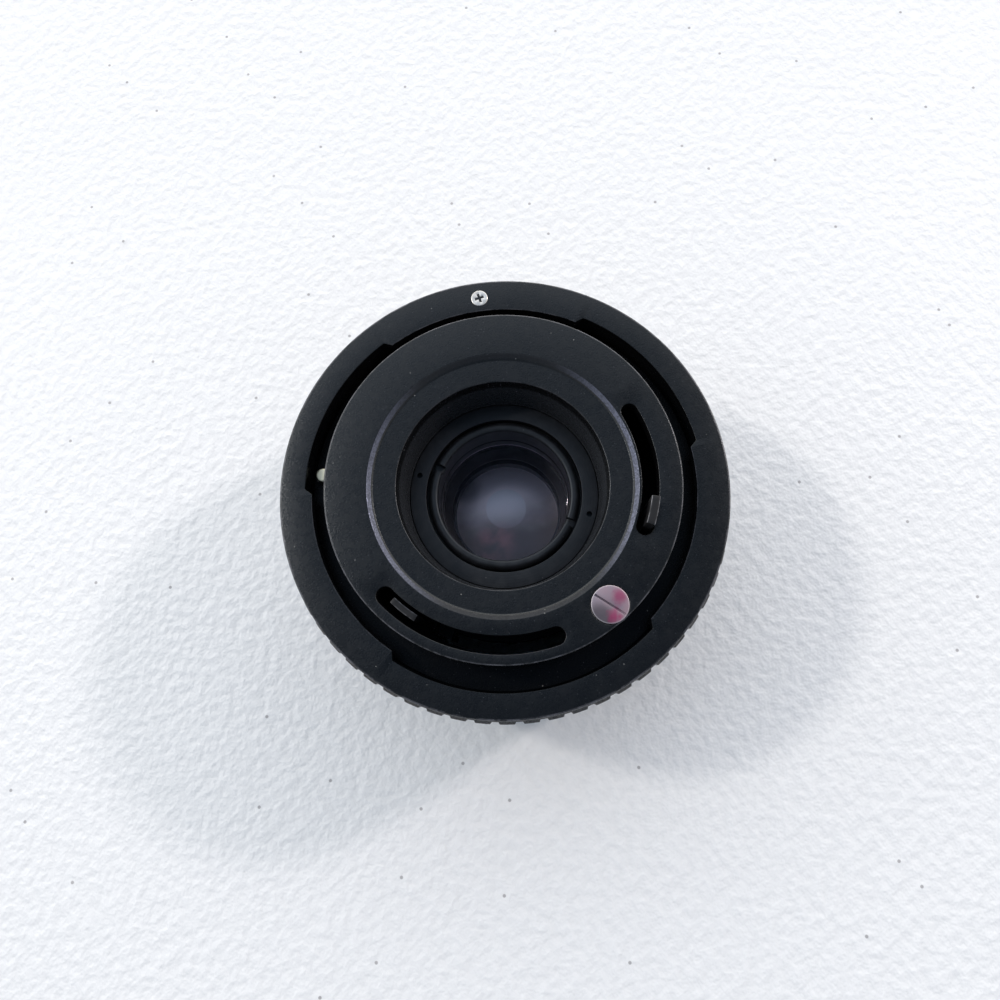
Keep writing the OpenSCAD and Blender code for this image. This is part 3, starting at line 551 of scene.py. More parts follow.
@dataclass(frozen=True)
class Band:
    """Ring-shaped zone of a finish, in millimetres, used for worn edges, painted sheen and painted
    highlights.
    """

    low: float
    high: float
    floor: float
    strength: float
    fade: float = 0.05


@dataclass(frozen=True)
class Anodised:
    """Matt black anodised aluminium with a fine blasted grain, dust and worn edges, and with
    painted glints, sheen and highlights in its colour.
    """

    name: str
    colour: Colour = (0.0012, 0.0012, 0.0013)
    pale: Colour = (0.0048, 0.0048, 0.0052)
    # paler metal of the edge bands: worn edges, which also stand in for highlights and glints
    worn: Colour = (0.17, 0.17, 0.19)
    # paler brownish colour: painted light on the grip's sides
    paler_tone: Colour = (0.075, 0.064, 0.056)
    # painted highlight: lighter bluish colour of the polish bands
    sheen_colour: Colour = (0.115, 0.125, 0.17)
    roughness: float = 0.3
    specular: float = 0.45
    grain: float = 0.75
    wear_and_glints: tuple[Band, ...] = ()
    grip_light_bands: tuple[Band, ...] = ()
    sheen_bands: tuple[Band, ...] = ()
    # painted sheen: bands painted in a lighter grey colour
    fade: tuple[Band, ...] = ()
    lighter_sheen: Colour = (0.03, 0.0325, 0.038)
    # painted glints: colour of small light specks
    painted_glints: Colour = (0.07, 0.075, 0.085)
    dust: Colour = (0.24, 0.24, 0.23)
    dust_share: float = 0.55
    zone_edge: float = 0.03
    # the painted highlight is full beyond the farther distance to the left and right of the view,
    # and weak near its middle
    sheen_sides: Point2 = (8.5, 16.5)
    sheen_elsewhere: float = 0.06
    grain_depth: float = 0.036

    def zone(self, s: Shader, band: Band) -> bpy.types.NodeSocket:
        """Mask of a band: 1 inside its radii and over its floor."""
        rise = s.ramp(s.height(), band.floor * MM, (band.floor + band.fade) * MM)
        across = s.band(s.from_axis(), band.low, band.high, self.zone_edge)
        return s.times(s.times(across, rise), band.strength)

    def build(self) -> bpy.types.Material:
        """Makes the material."""
        s = Shader(self.name)
        cloudy = s.noise(160.0, 4.0)
        fine = s.noise(4300.0, 3.0, 0.7)
        tone = s.plus(s.ramp(cloudy, 0.3, 0.75), s.ramp(fine, 0.35, 0.68))
        colour = s.mix(s.times(tone, 0.5), self.colour, self.pale)
        metal: object = 0.0
        patchy = s.ramp(s.noise(520.0, 5.0, 0.7), 0.36, 0.62)
        # Painted sheen: lighter grey colour on the fade bands.
        for band in self.fade:
            colour = s.mix(self.zone(s, band), colour, self.lighter_sheen)
        # Painted light: the grip's outer sides are paler and brownish, more so towards the face, in
        # uneven patches.
        for band in self.grip_light_bands:
            uneven = s.ramp(s.noise(900.0, 4.0), 0.3, 0.6, (0.35, 1.0))
            colour = s.mix(s.times(self.zone(s, band), uneven), colour, self.paler_tone)
        # Painted highlight: the polish bands turn lighter and bluish only on their left and right
        # sides, where the lamps catch the step chamfer.
        across = s.math("ABSOLUTE", s.along(PHOTO_TURN))
        near, far = self.sheen_sides
        sheen_sides = s.ramp(across, near * MM, far * MM, (self.sheen_elsewhere, 1.0))
        rough: object = self.roughness - 0.05
        for band in self.sheen_bands:
            whole = self.zone(s, band)
            glossy = s.ramp(fine, 0.38, 0.6, (0.45, 1.0))
            amount = s.times(s.times(whole, sheen_sides), glossy)
            dull = s.math("SUBTRACT", whole, amount)
            rough = s.plus(rough, s.times(dull, 0.32))
            colour = s.mix(amount, colour, self.sheen_colour)
            metal = s.plus(metal, s.times(amount, 0.85))
        # Edge bands of paler metal: worn edges. On the ring's outer edge and tooth lips they also
        # serve as painted highlight and painted glints.
        for band in self.wear_and_glints:
            amount = s.times(self.zone(s, band), patchy)
            colour = s.mix(amount, colour, self.worn)
            metal = s.plus(metal, s.times(amount, 0.8))
        # Painted glints: small light specks scattered over the surface.
        painted_glints = s.specks(2300.0, 0.17, 0.28)
        colour = s.mix(s.times(painted_glints, 0.5), colour, self.painted_glints)
        dust = s.specks(560.0, 0.056, self.dust_share)
        colour = s.mix(s.times(dust, 0.8), colour, self.dust)
        scuffs = s.ramp(s.noise(900.0, 6.0, 0.75), 0.35, 0.8)
        rough = s.plus(rough, s.times(scuffs, 0.12))
        return s.surface({
            "Base Color": colour,
            "Metallic": metal,
            "Roughness": rough,
            "Specular IOR Level": self.specular,
            "Specular Tint": (0.87, 0.94, 1.0, 1.0),
            "Normal": s.bump(fine, self.grain, self.grain_depth),
        })


@dataclass(frozen=True)
class InnerBlack:
    """Duller or glossier black paint inside the well, with fine turning marks."""

    name: str
    colour: Colour = (0.005, 0.005, 0.0058)
    pale: Colour = (0.014, 0.0145, 0.0165)
    roughness: float = 0.4
    specular: float = 0.4
    rings: float = 2600.0
    ring_depth: float = 0.004

    def build(self) -> bpy.types.Material:
        """Makes the material."""
        s = Shader(self.name)
        radius, height = s.from_axis(), s.height()
        path = s.times(s.plus(radius, height), self.rings * 2 * math.pi)
        turned = s.math("SINE", path)
        tone = s.ramp(s.noise(700.0, 4.0), 0.3, 0.8)
        colour = s.mix(s.times(tone, 0.6), self.colour, self.pale)
        dust = s.specks(520.0, 0.05, 0.6)
        colour = s.mix(s.times(dust, 0.5), colour, (0.13, 0.13, 0.13))
        return s.surface({
            "Base Color": colour,
            "Roughness": s.plus(self.roughness, s.times(tone, 0.08)),
            "Specular IOR Level": self.specular,
            "Specular Tint": (0.8, 0.9, 1.0, 1.0),
            "Normal": s.bump(turned, 0.4, self.ring_depth),
        })


@dataclass(frozen=True)
class TurnedMetal:
    """Bare metal with fine rings from the lathe and a little tarnish."""

    name: str
    colour: Colour = (0.62, 0.62, 0.63)
    dull: Colour = (0.36, 0.35, 0.34)
    roughness: float = 0.3
    rings: float = 3300.0
    ring_depth: float = 0.003
    centre: Point2 = (0.0, 0.0)

    def build(self) -> bpy.types.Material:
        """Makes the material."""
        s = Shader(self.name)
        radius, height = s.from_axis(*self.centre), s.height()
        path = s.times(s.plus(radius, height), self.rings * 2 * math.pi)
        wobble = s.times(s.noise(300.0, 2.0), 6.0)
        turned = s.math("SINE", s.plus(path, wobble))
        tarnish = s.ramp(s.noise(520.0, 6.0, 0.7), 0.42, 0.78)
        colour = s.mix(s.times(tarnish, 0.7), self.colour, self.dull)
        rough = s.plus(self.roughness, s.times(tarnish, 0.18))
        return s.surface({
            "Base Color": colour,
            "Metallic": 1.0,
            "Roughness": rough,
            "Normal": s.bump(turned, 0.35, self.ring_depth),
        })


@dataclass(frozen=True)
class PaintedScrew:
    """Steel screw head on which most of the red paint has worn off."""

    name: str
    centre: Point2
    radius: float
    patches: tuple[tuple[float, float, float], ...] = (
        (32.0, 1.65, 1.35), (280.0, 1.65, 1.25), (296.0, 2.1, 0.9)
    )
    steel: Colour = (0.32, 0.275, 0.32)
    stain: Colour = (0.34, 0.235, 0.275)
    paint: Colour = (0.33, 0.03, 0.12)
    # colour towards the head's lower left
    darker_tone: Colour = (0.07, 0.062, 0.075)
    ragged: float = 2.8

    def build(self) -> bpy.types.Material:
        """Makes the material."""
        s = Shader(self.name)
        x, y = self.centre
        radius = s.from_axis(x, y)
        cloudy = s.noise(480.0, 4.0, 0.6)
        ax, ay = polar(self.radius, 20.0 + PHOTO_TURN)
        side = s.from_axis(x + ax, y + ay)
        blush = s.ramp(side, 1.2 * MM, 5.0 * MM, (1.0, 0.12))
        colour = s.mix(s.times(blush, s.ramp(cloudy, 0.3, 0.6)), self.steel, self.stain)
        # The head is painted darker towards its lower left.
        dx, dy = polar(2.1, 225.0 + PHOTO_TURN)
        darker_side = s.ramp(s.from_axis(x + dx, y + dy), 0.9 * MM, 2.9 * MM, (0.85, 0.0))
        colour = s.mix(darker_side, colour, self.darker_tone)
        for angle, reach, size in self.patches:
            dx, dy = polar(reach, angle + PHOTO_TURN)
            shift = s.times(s.math("SUBTRACT", cloudy, 0.5), self.ragged * MM)
            ragged = s.plus(s.from_axis(x + dx, y + dy), shift)
            patch = s.ramp(ragged, 0.1 * size * MM, size * MM, (1.0, 0.0))
            colour = s.mix(s.times(patch, 0.72), colour, self.paint)
        rim = s.band(radius, self.radius - 0.14, self.radius + 0.2, 0.05)
        colour = s.mix(s.times(rim, 0.35), colour, (0.62, 0.6, 0.62))
        scratch = s.noise(2600.0, 3.0, 0.8)
        return s.surface({
            "Base Color": colour,
            "Metallic": 0.55,
            "Roughness": s.ramp(cloudy, 0.2, 0.8, (0.36, 0.52)),
            "Normal": s.bump(scratch, 0.35, 0.01),
        })


@dataclass(frozen=True)
class BlackSteel:
    """Blackened sheet steel, rubbed pale along its tips."""

    name: str
    tip_height: float
    edges: Point2
    colour: Colour = (0.011, 0.011, 0.012)
    paler_tone: Colour = (0.013, 0.0135, 0.0145)
    bare: Colour = (0.2, 0.2, 0.215)

    def build(self) -> bpy.types.Material:
        """Makes the material."""
        s = Shader(self.name)
        tip = s.ramp(s.height(), (self.tip_height - 0.35) * MM, self.tip_height * MM)
        patchy = s.ramp(s.noise(1500.0, 5.0, 0.7), 0.35, 0.65)
        worn = s.times(tip, patchy)
        colour = s.mix(s.times(worn, 0.75), self.colour, self.paler_tone)
        inside = s.band(s.from_axis(), self.edges[0] + 0.1, self.edges[1] - 0.1, 0.05)
        edge = s.times(s.math("SUBTRACT", 1.0, inside), worn)
        colour = s.mix(s.times(edge, 0.8), colour, self.bare)
        return s.surface({
            "Base Color": colour,
            "Metallic": 0.35,
            "Roughness": 0.42,
            "Normal": s.bump(s.noise(5200.0, 2.0), 0.3, 0.01),
        })


@dataclass(frozen=True)
class LensFace:
    """Coated inner glass, its colour a painted reflection: a lilac-grey disc, lighter at the top,
    with a pink patch, a dark patch and a paler spot in its middle.
    """

    name: str
    # colours of the painted reflection: body at the top, low at the bottom, then the spot and the
    # pink patch
    body: Colour = (0.78, 0.64, 0.67)
    low: Colour = (0.17, 0.135, 0.13)
    reflected_spot: Colour = (0.66, 0.6, 0.64)
    blush: Colour = (0.4, 0.2, 0.21)
    spot_radius: float = 3.2

    def build(self) -> bpy.types.Material:
        """Makes the material."""
        s = Shader(self.name)
        up = s.along(90.0 + PHOTO_TURN)
        cloudy = s.noise(260.0, 3.0)
        height = s.plus(up, s.times(s.math("SUBTRACT", cloudy, 0.5), 0.004))
        # Painted reflection: lighter towards the top of the view and darker towards the bottom.
        colour = s.mix(s.ramp(height, -3.5 * MM, 4.5 * MM), self.low, self.body)
        # Painted reflection: a pink patch low on the left.
        pink_reflection = s.near(4.6, 238.0, 0.6, 4.4)
        colour = s.mix(s.times(pink_reflection, s.ramp(cloudy, 0.35, 0.62)), colour, self.blush)
        # Painted reflection: a dark patch high on the left.
        colour = s.mix(s.near(8.6, 137.0, 1.4, 3.6, 0.7), colour, (0.06, 0.06, 0.075))
        # Painted reflection: a paler spot, fading towards the bottom.
        reflected_spot = s.near(1.2, 90.0, self.spot_radius - 0.1, self.spot_radius + 0.1)
        fade = s.ramp(up, -2.2 * MM, 3.4 * MM, (0.15, 1.0))
        colour = s.mix(s.times(reflected_spot, fade), colour, self.reflected_spot)
        dust = s.specks(900.0, 0.06, 0.6)
        colour = s.mix(s.times(dust, 0.35), colour, (0.5, 0.5, 0.52))
        return s.surface({
            "Base Color": colour,
            "Metallic": 0.85,
            "Roughness": 0.34,
            "Coat Weight": 0.3,
            "Coat Roughness": 0.05,
        })


@dataclass(frozen=True)
class ClearGlass:
    """Clear coated glass that lets the light straight through."""

    name: str
    tint: Colour = (0.98, 0.985, 0.99)
    gloss: Colour = (0.9, 0.8, 0.92)

    def build(self) -> bpy.types.Material:
        """Makes the material."""
        s = Shader(self.name)
        dust = s.specks(700.0, 0.05, 0.2)
        clear = s.node("ShaderNodeBsdfTransparent", {"Color": (*self.tint, 1.0)})
        gloss = s.node("ShaderNodeBsdfGlossy", {"Color": (*self.gloss, 1.0), "Roughness": 0.04})
        haze = s.node("ShaderNodeBsdfDiffuse", {"Color": (0.4, 0.4, 0.42, 1.0)})
        share = s.node("ShaderNodeFresnel", {"IOR": 1.22}).outputs[0]
        glass = s.node("ShaderNodeMixShader", {0: share, 1: clear.outputs[0], 2: gloss.outputs[0]})
        dusty = s.node(
            "ShaderNodeMixShader",
            {0: s.times(dust, 0.4), 1: glass.outputs[0], 2: haze.outputs[0]},
        )
        s.tree.links.new(dusty.outputs[0], s.output.inputs["Surface"])
        return s.material


@dataclass(frozen=True)
class GlossPaint:
    """Plain glossy paint or moulding."""

    name: str
    colour: Colour
    roughness: float = 0.25

    def build(self) -> bpy.types.Material:
        """Makes the material."""
        s = Shader(self.name)
        tone = s.ramp(s.noise(900.0, 3.0), 0.3, 0.8)
        darker = tuple(c * 0.7 for c in self.colour)
        return s.surface({
            "Base Color": s.mix(tone, self.colour, darker),
            "Roughness": self.roughness,
            "Normal": s.bump(s.noise(3000.0, 2.0), 0.1, 0.01),
        })


@dataclass(frozen=True)
class TableTop:
    """White moulded table with a soft pebbled skin and a few dark specks."""

    name: str = "table_top"
    colour: Colour = (0.80, 0.815, 0.825)
    pebbles: float = 560.0

    def build(self) -> bpy.types.Material:
        """Makes the material."""
        s = Shader(self.name)
        pebble = s.noise(self.pebbles, 2.5, 0.5)
        wide = s.noise(14.0, 2.0)
        height = s.plus(pebble, s.times(wide, 2.0))
        specks = s.specks(95.0, 0.034, 0.27, flat=True)
        tone = s.mix(s.ramp(pebble, 0.3, 0.7), self.colour, tuple(c * 1.04 for c in self.colour))
        colour = s.mix(s.times(specks, 0.7), tone, (0.25, 0.24, 0.25))
        return s.surface({
            "Base Color": colour,
            "Roughness": 0.5,
            "Specular IOR Level": 0.35,
            "Normal": s.bump(height, 0.75, 0.42),
        })


class Slot(Enum):
    """The record's material slots."""

    ANODISED = "black_anodised"
    BRIGHT = "bright_steel"
    SCREW = "screw_steel"
    BLACK_STEEL = "black_steel"
    DARK = "dark_aluminium"
    BRASS = "brass"
    SPRING = "spring_steel"
    GLASS = "lens_glass"
    RED = "red_paint"


class Body(Enum):
    """The rigid bodies of the part."""

    HOUSING = "housing"
    RING = "ring"
    APERTURE = "aperture"
    SIGNAL = "signal"
    PIN = "pin"


def dress(
    piece: bpy.types.Object,
    material: bpy.types.Material,
    body: Body,
    nodes: Sequence[str] = (),
) -> bpy.types.Object:
    """Gives a piece its finish and body, and hides the CAD nodes that it stands for.

    Args:
        piece: the finished mesh object.
        material: its finish.
        body: the rigid body it rides on.
        nodes: the CAD nodes that it stands for.

    Returns:
        The piece.
    """
    piece.data.materials.clear()
    piece.data.materials.append(material)
    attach(piece, body.value)
    if nodes:
        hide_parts(*nodes)
    log.info("%s: %d faces on %s", piece.name, len(piece.data.polygons), body.value)
    return piece


# Sub-assemblies


@dataclass
class BreechRing:
    """The grip ring with its three teeth and its stop screw."""

    face: float = 34.0
    foot: float = 20.9
    tooth_bottom: float = 32.4
    tooth_r: float = 26.2
    gap_r: float = 27.2
    bore_r: float = 27.25
    rim_r: float = 28.4
    rim_low: float = 27.25
    rim_high: float = 28.5
    keeper_r: float = 29.35
    grip_r: float = 31.3
    groove_r: float = 30.96
    band_r: float = 30.7
    band_low: float = 31.6
    groove_low: float = 22.1
    lands: int = 60
    land_half: float = 1.85
    land_taper: float = 0.52
    middle: float = 236.4
    teeth: tuple[tuple[float, float], ...] = ((236.4, 31.7), (348.4, 29.0), (124.4, 29.0))
    ramp: float = 1.7
    screw_r: float = 28.2
    screw_head: float = 1.2
    screw_proud: float = 0.05
    screw_depth: float = 1.0
    cross: tuple[float, float, float] = (1.32, 0.36, 0.9)
    cross_turn: float = 12.0

    def inner_radius(self, angle: float) -> float:
        """Radius of the bore's lip at an angle: small on a tooth and large in a gap."""
        for centre, half in self.teeth:
            off = apart(angle, centre)
            if off < half:
                share = min(1.0, (half - off) / self.ramp)
                return self.gap_r - (self.gap_r - self.tooth_r) * share
        return self.gap_r

    def section(self, angle: float) -> Profile:
        """Section of the ring at an angle."""
        lip = self.inner_radius(angle)
        return softened(
            [
                (self.keeper_r, self.foot, 0.05),
                (self.grip_r, self.foot, 0.4),
                (self.grip_r, self.groove_low, 0.08),
                (self.groove_r, self.groove_low + 0.1, 0.05),
                (self.groove_r, self.band_low - 0.26, 0.05),
                (self.band_r, self.band_low, 0.1),
                (self.band_r, self.face, 0.28),
                (lip, self.face, 0.1),
                (lip, self.tooth_bottom, 0.08),
                (self.bore_r, self.tooth_bottom, 0.01),
                (self.bore_r, self.rim_high, 0.05),
                (self.rim_r, self.rim_high, 0.05),
                (self.rim_r, self.rim_low, 0.05),
                (self.keeper_r, self.rim_low, 0.05),
            ],
            0.05,
        )

    def angles(self) -> list[float]:
        """Angles of the ring's sections, closer together at the ends of the teeth."""
        found = {round(i * 0.75, 4) for i in range(480)}
        near = (
            *spread(-0.3, 0.3, 6),
            *spread(self.ramp - 0.3, self.ramp + 0.3, 6),
            *spread(0.3, self.ramp, 8),
        )
        for centre, half in self.teeth:
            for end in (centre - half, centre + half):
                inwards = math.copysign(1.0, centre - end)
                found |= {round((end + inwards * t) % 360.0, 4) for t in near}
        return sorted(found)

    def land(self) -> bpy.types.Object:
        """One land of the grip, at angle 0."""
        bm = bmesh.new()
        profile = [
            (self.groove_r - 0.4, self.groove_low - 0.3),
            (self.grip_r - 0.012, self.groove_low - 0.3),
            (self.grip_r - 0.012, self.band_low - 0.6),
            (self.band_r - 0.01, self.band_low - 0.012),
            (self.groove_r - 0.4, self.band_low - 0.012),
        ]
        polar_prism(bm, profile, -self.land_half, self.land_half, 6, self.land_taper)
        return with_soft_edges(finished_object("grip_land", bm), 0.16, 3, 25.0)

    def stop_screw(self) -> bpy.types.Object:
        """Cross-head screw in the ring's rear face."""
        x, y = polar(self.screw_r, self.middle)
        top = self.face + self.screw_proud
        low = top - self.screw_depth
        r = self.screw_head
        profile = softened([(0.0, low, 0), (r, low, 0), (r, top, 0.12), (0.0, top + 0.02, 0)], 0.0)
        head = peg("ring_stop_screw", profile, standing((x, y)))
        arms = [
            block("arm", (x, y, top), self.cross, PHOTO_TURN + turn)
            for turn in (self.cross_turn, self.cross_turn + 90.0)
        ]
        return with_soft_edges(cut(head, arms), 0.03, 2)

    def build(self, black: bpy.types.Material, steel: bpy.types.Material) -> None:
        """Makes the ring's pieces and dresses them."""
        ring = polar_shell("grip_ring", self.section, self.angles())
        dress(ring, black, Body.RING, ["breech_ring"])
        lands = repeated_round_axis("grip_lands", self.land(), self.lands, self.middle, black)
        dress(lands, black, Body.RING)
        dress(self.stop_screw(), steel, Body.RING, ["ring_screw"])


@dataclass(frozen=True)
class ArcSlot:
    """Arc slot with round ends."""

    radius: float
    half_width: float
    start: float
    end: float
    cap_start: float = 15.0
    cap_span: float = 150.0

    def cap(self, at: float, half: float, first: float) -> list[Point2]:
        """Points round one end of the slot, from a first angle on."""
        cx, cy = polar(self.radius, at)
        turns = (polar(half, at + t) for t in spread(first, first + self.cap_span, 10))
        return [(cx + x, cy + y) for x, y in turns]

    def outline(self, offset: float) -> list[Point2]:
        """The slot's outline, grown by an offset."""
        half = self.half_width + offset
        angles = spread(self.start, self.end, int(self.end - self.start))
        return [
            *(polar(self.radius + half, a) for a in angles),
            *self.cap(self.end, half, self.cap_start),
            *(polar(self.radius - half, a) for a in reversed(angles)),
            *self.cap(self.start, half, self.cap_start + 180.0),
        ]


@dataclass(frozen=True)
class RoundHole:
    """Round hole."""

    x: float
    y: float
    radius: float

    def outline(self, offset: float) -> list[Point2]:
        """The hole's outline, grown by an offset."""
        points = (polar(self.radius + offset, a) for a in spread(0.0, 354.0, 59))
        return [(self.x + x, self.y + y) for x, y in points]


@dataclass
class SpigotCover:
    """The disc with its two slots, stepped land and funnel, and its index screw."""

    top: float = 37.6
    under: float = 35.3
    edge_r: float = 23.77
    relief_r: float = 23.37
    relief_top: float = 34.2
    wall_r: float = 22.77
    flange_r: float = 25.8
    flange_low: float = 26.8
    flange_top: float = 28.0
    step_r: float = 18.0
    step: float = 0.7
    funnel_top_r: float = 14.2
    funnel_low_r: float = 13.4
    funnel_low: float = 30.0
    funnel_wall: float = 1.4
    soft: float = 0.09
    pin_angle: float = 313.8
    pin_half: float = 6.2
    steps: int = 360
    aperture_slot: ArcSlot = ArcSlot(19.5, 1.12, 121.3, 168.7)
    signal_slot: ArcSlot = ArcSlot(21.2, 1.2, 4.3, 68.5)
    screw_at: Point2 = (0.0, 21.2)
    screw_r: float = 2.45
    screw_proud: float = 0.06
    screw_head: float = 1.2
    shank_r: float = 1.3
    shank: float = 5.0
    seat_gap: float = 0.07
    seat_depth: float = 1.15
    slot_width: float = 0.26
    slot_height: float = 0.8
    screw_slot: float = 106.7

    def strip(self, bm: bmesh.types.BMesh, profile: Profile, near_pin: bool = False) -> list[list]:
        """Adds a turned wall that follows an open profile and returns its loops."""
        loops = []
        for r, z in profile:
            notched = near_pin and r > self.relief_r + 0.1
            points = (
                polar(
                    self.relief_r - 0.45
                    if notched and apart(a, self.pin_angle) < self.pin_half
                    else r,
                    a,
                )
                for a in (360.0 * i / self.steps for i in range(self.steps))
            )
            loops.append(ring_loop(bm, points, z))
        for first, second in zip(loops, loops[1:]):
            bridge(bm, first, second)
        return loops

    def hole(
        self, bm: bmesh.types.BMesh, shape: ArcSlot | RoundHole, low: float
    ) -> tuple[list, list]:
        """Adds a hole's softened wall and returns its loops at the top and at the bottom."""
        loops = []
        for t in spread(0.0, math.pi / 2, 4):
            outline = shape.outline(self.soft * (1 - math.sin(t)))
            loops.append(ring_loop(bm, outline, self.top - self.soft * (1 - math.cos(t))))
        loops.append(ring_loop(bm, shape.outline(0.0), low))
        for first, second in zip(loops, loops[1:]):
            bridge(bm, first, second)
        return loops[0], loops[-1]

    def cover(self) -> bpy.types.Object:
        """The disc, its skirt and its funnel in one piece."""
        bm = bmesh.new()
        land = self.top - self.step
        outer = softened(
            [
                (self.step_r + 3, self.top, 0),
                (self.edge_r, self.top, 0.28),
                (self.edge_r, self.relief_top, 0.05),
                (self.relief_r, self.relief_top, 0.05),
                (self.relief_r, self.flange_top, 0),
            ],
            0.05,
            5,
        )[1:]
        outer_loops = self.strip(bm, outer)
        flange = [
            (self.relief_r, self.flange_top), (self.flange_r, self.flange_top),
            (self.flange_r, self.flange_low), (self.wall_r, self.flange_low),
            (self.wall_r, self.under),
        ]
        flange_loops = self.strip(bm, flange, near_pin=True)
        inner = softened(
            [
                (self.step_r + 3, self.top, 0),
                (self.step_r, self.top, 0.12),
                (self.step_r - self.step, land, 0.1),
                (self.funnel_top_r, land, 0.16),
                (self.funnel_low_r, self.funnel_low, 0.05),
                (self.funnel_low_r + self.funnel_wall, self.funnel_low, 0.05),
                (self.funnel_top_r + self.funnel_wall, self.under, 0),
            ],
            0.05,
            5,
        )[1:]
        inner_loops = self.strip(bm, inner)
        slots = [self.hole(bm, slot, self.under) for slot in (self.aperture_slot, self.signal_slot)]
        seat = RoundHole(*self.screw_at, self.screw_r + self.seat_gap)
        seat_top, seat_low = self.hole(bm, seat, self.top - self.seat_depth)
        fill_between(bm, [outer_loops[0], inner_loops[0], slots[0][0], slots[1][0], seat_top])
        fill_between(bm, [flange_loops[-1], inner_loops[-1], slots[0][1], slots[1][1]])
        fill_between(bm, [seat_low])
        return finished_object("spigot_disc", bm, 40.0)

    def index_screw(self) -> bpy.types.Object:
        """Large slotted screw, flush with the disc."""
        x, y = self.screw_at
        top = self.top + self.screw_proud
        head_low, low = top - self.screw_head, top - self.shank
        r = self.screw_r
        profile = softened(
            [
                (0.0, low, 0), (self.shank_r, low, 0), (self.shank_r, head_low, 0),
                (r, head_low, 0.05), (r, top, 0.1), (0.0, top + 0.03, 0),
            ],
            0.0,
        )
        head = peg("index_screw_head", profile, standing((x, y)), 128)
        size = (2 * r * 0.95, self.slot_width, self.slot_height)
        slot = block("slot", (x, y, top), size, self.screw_slot)
        return with_soft_edges(cut(head, [slot]), 0.02, 2)

    def build(self, black: bpy.types.Material, screw: bpy.types.Material) -> None:
        """Makes the cover's pieces and dresses them."""
        dress(self.cover(), black, Body.HOUSING, ["rear_cover"])
        dress(self.index_screw(), screw, Body.HOUSING, ["index_screw"])


@dataclass
class LeverTab:
    """Bent sheet lever that stands up through a slot of the disc."""

    name: str
    node: str
    body: Body
    inner_r: float
    outer_r: float
    start: float
    end: float
    foot_r: float
    foot_z: float
    tip: float
    sheet: float = 0.8

    def build(self, finish: bpy.types.Material) -> None:
        """Makes the lever and dresses it."""
        bm = bmesh.new()
        bend = [
            (self.foot_r, self.foot_z), (self.outer_r, self.foot_z, 0.9),
            (self.outer_r, self.tip, 0), (self.inner_r, self.tip, 0),
            (self.inner_r, self.foot_z + self.sheet, 0.3),
            (self.foot_r, self.foot_z + self.sheet, 0),
        ]
        polar_prism(bm, softened(bend, 0.0), self.start, self.end, 8)
        lever = with_soft_edges(finished_object(self.name, bm), 0.08, 3, 50.0)
        dress(lever, finish, self.body, [self.node])


@dataclass
class ReleasePin:
    """Small sprung pin beside the spigot."""

    radius: float = 1.0
    at_r: float = 25.55
    angle: float = 313.8
    top: float = 32.0
    collar_r: float = 1.38
    collar: Point2 = (27.35, 28.65)
    low: float = 25.75
    stem_r: float = 0.55

    def build(self, steel: bpy.types.Material) -> None:
        """Makes the pin and dresses it."""
        low, high = self.collar
        profile = softened(
            [
                (0.0, self.low, 0), (self.stem_r, self.low, 0.1), (self.stem_r, low, 0.05),
                (self.collar_r, low, 0.08), (self.collar_r, high, 0.08), (self.radius, high, 0.05),
                (self.radius, self.top, 0.3), (0.0, self.top, 0),
            ],
            0.05,
        )
        pin = peg("release_button", profile, standing(polar(self.at_r, self.angle)))
        dress(pin, steel, Body.PIN, ["release_pin"])


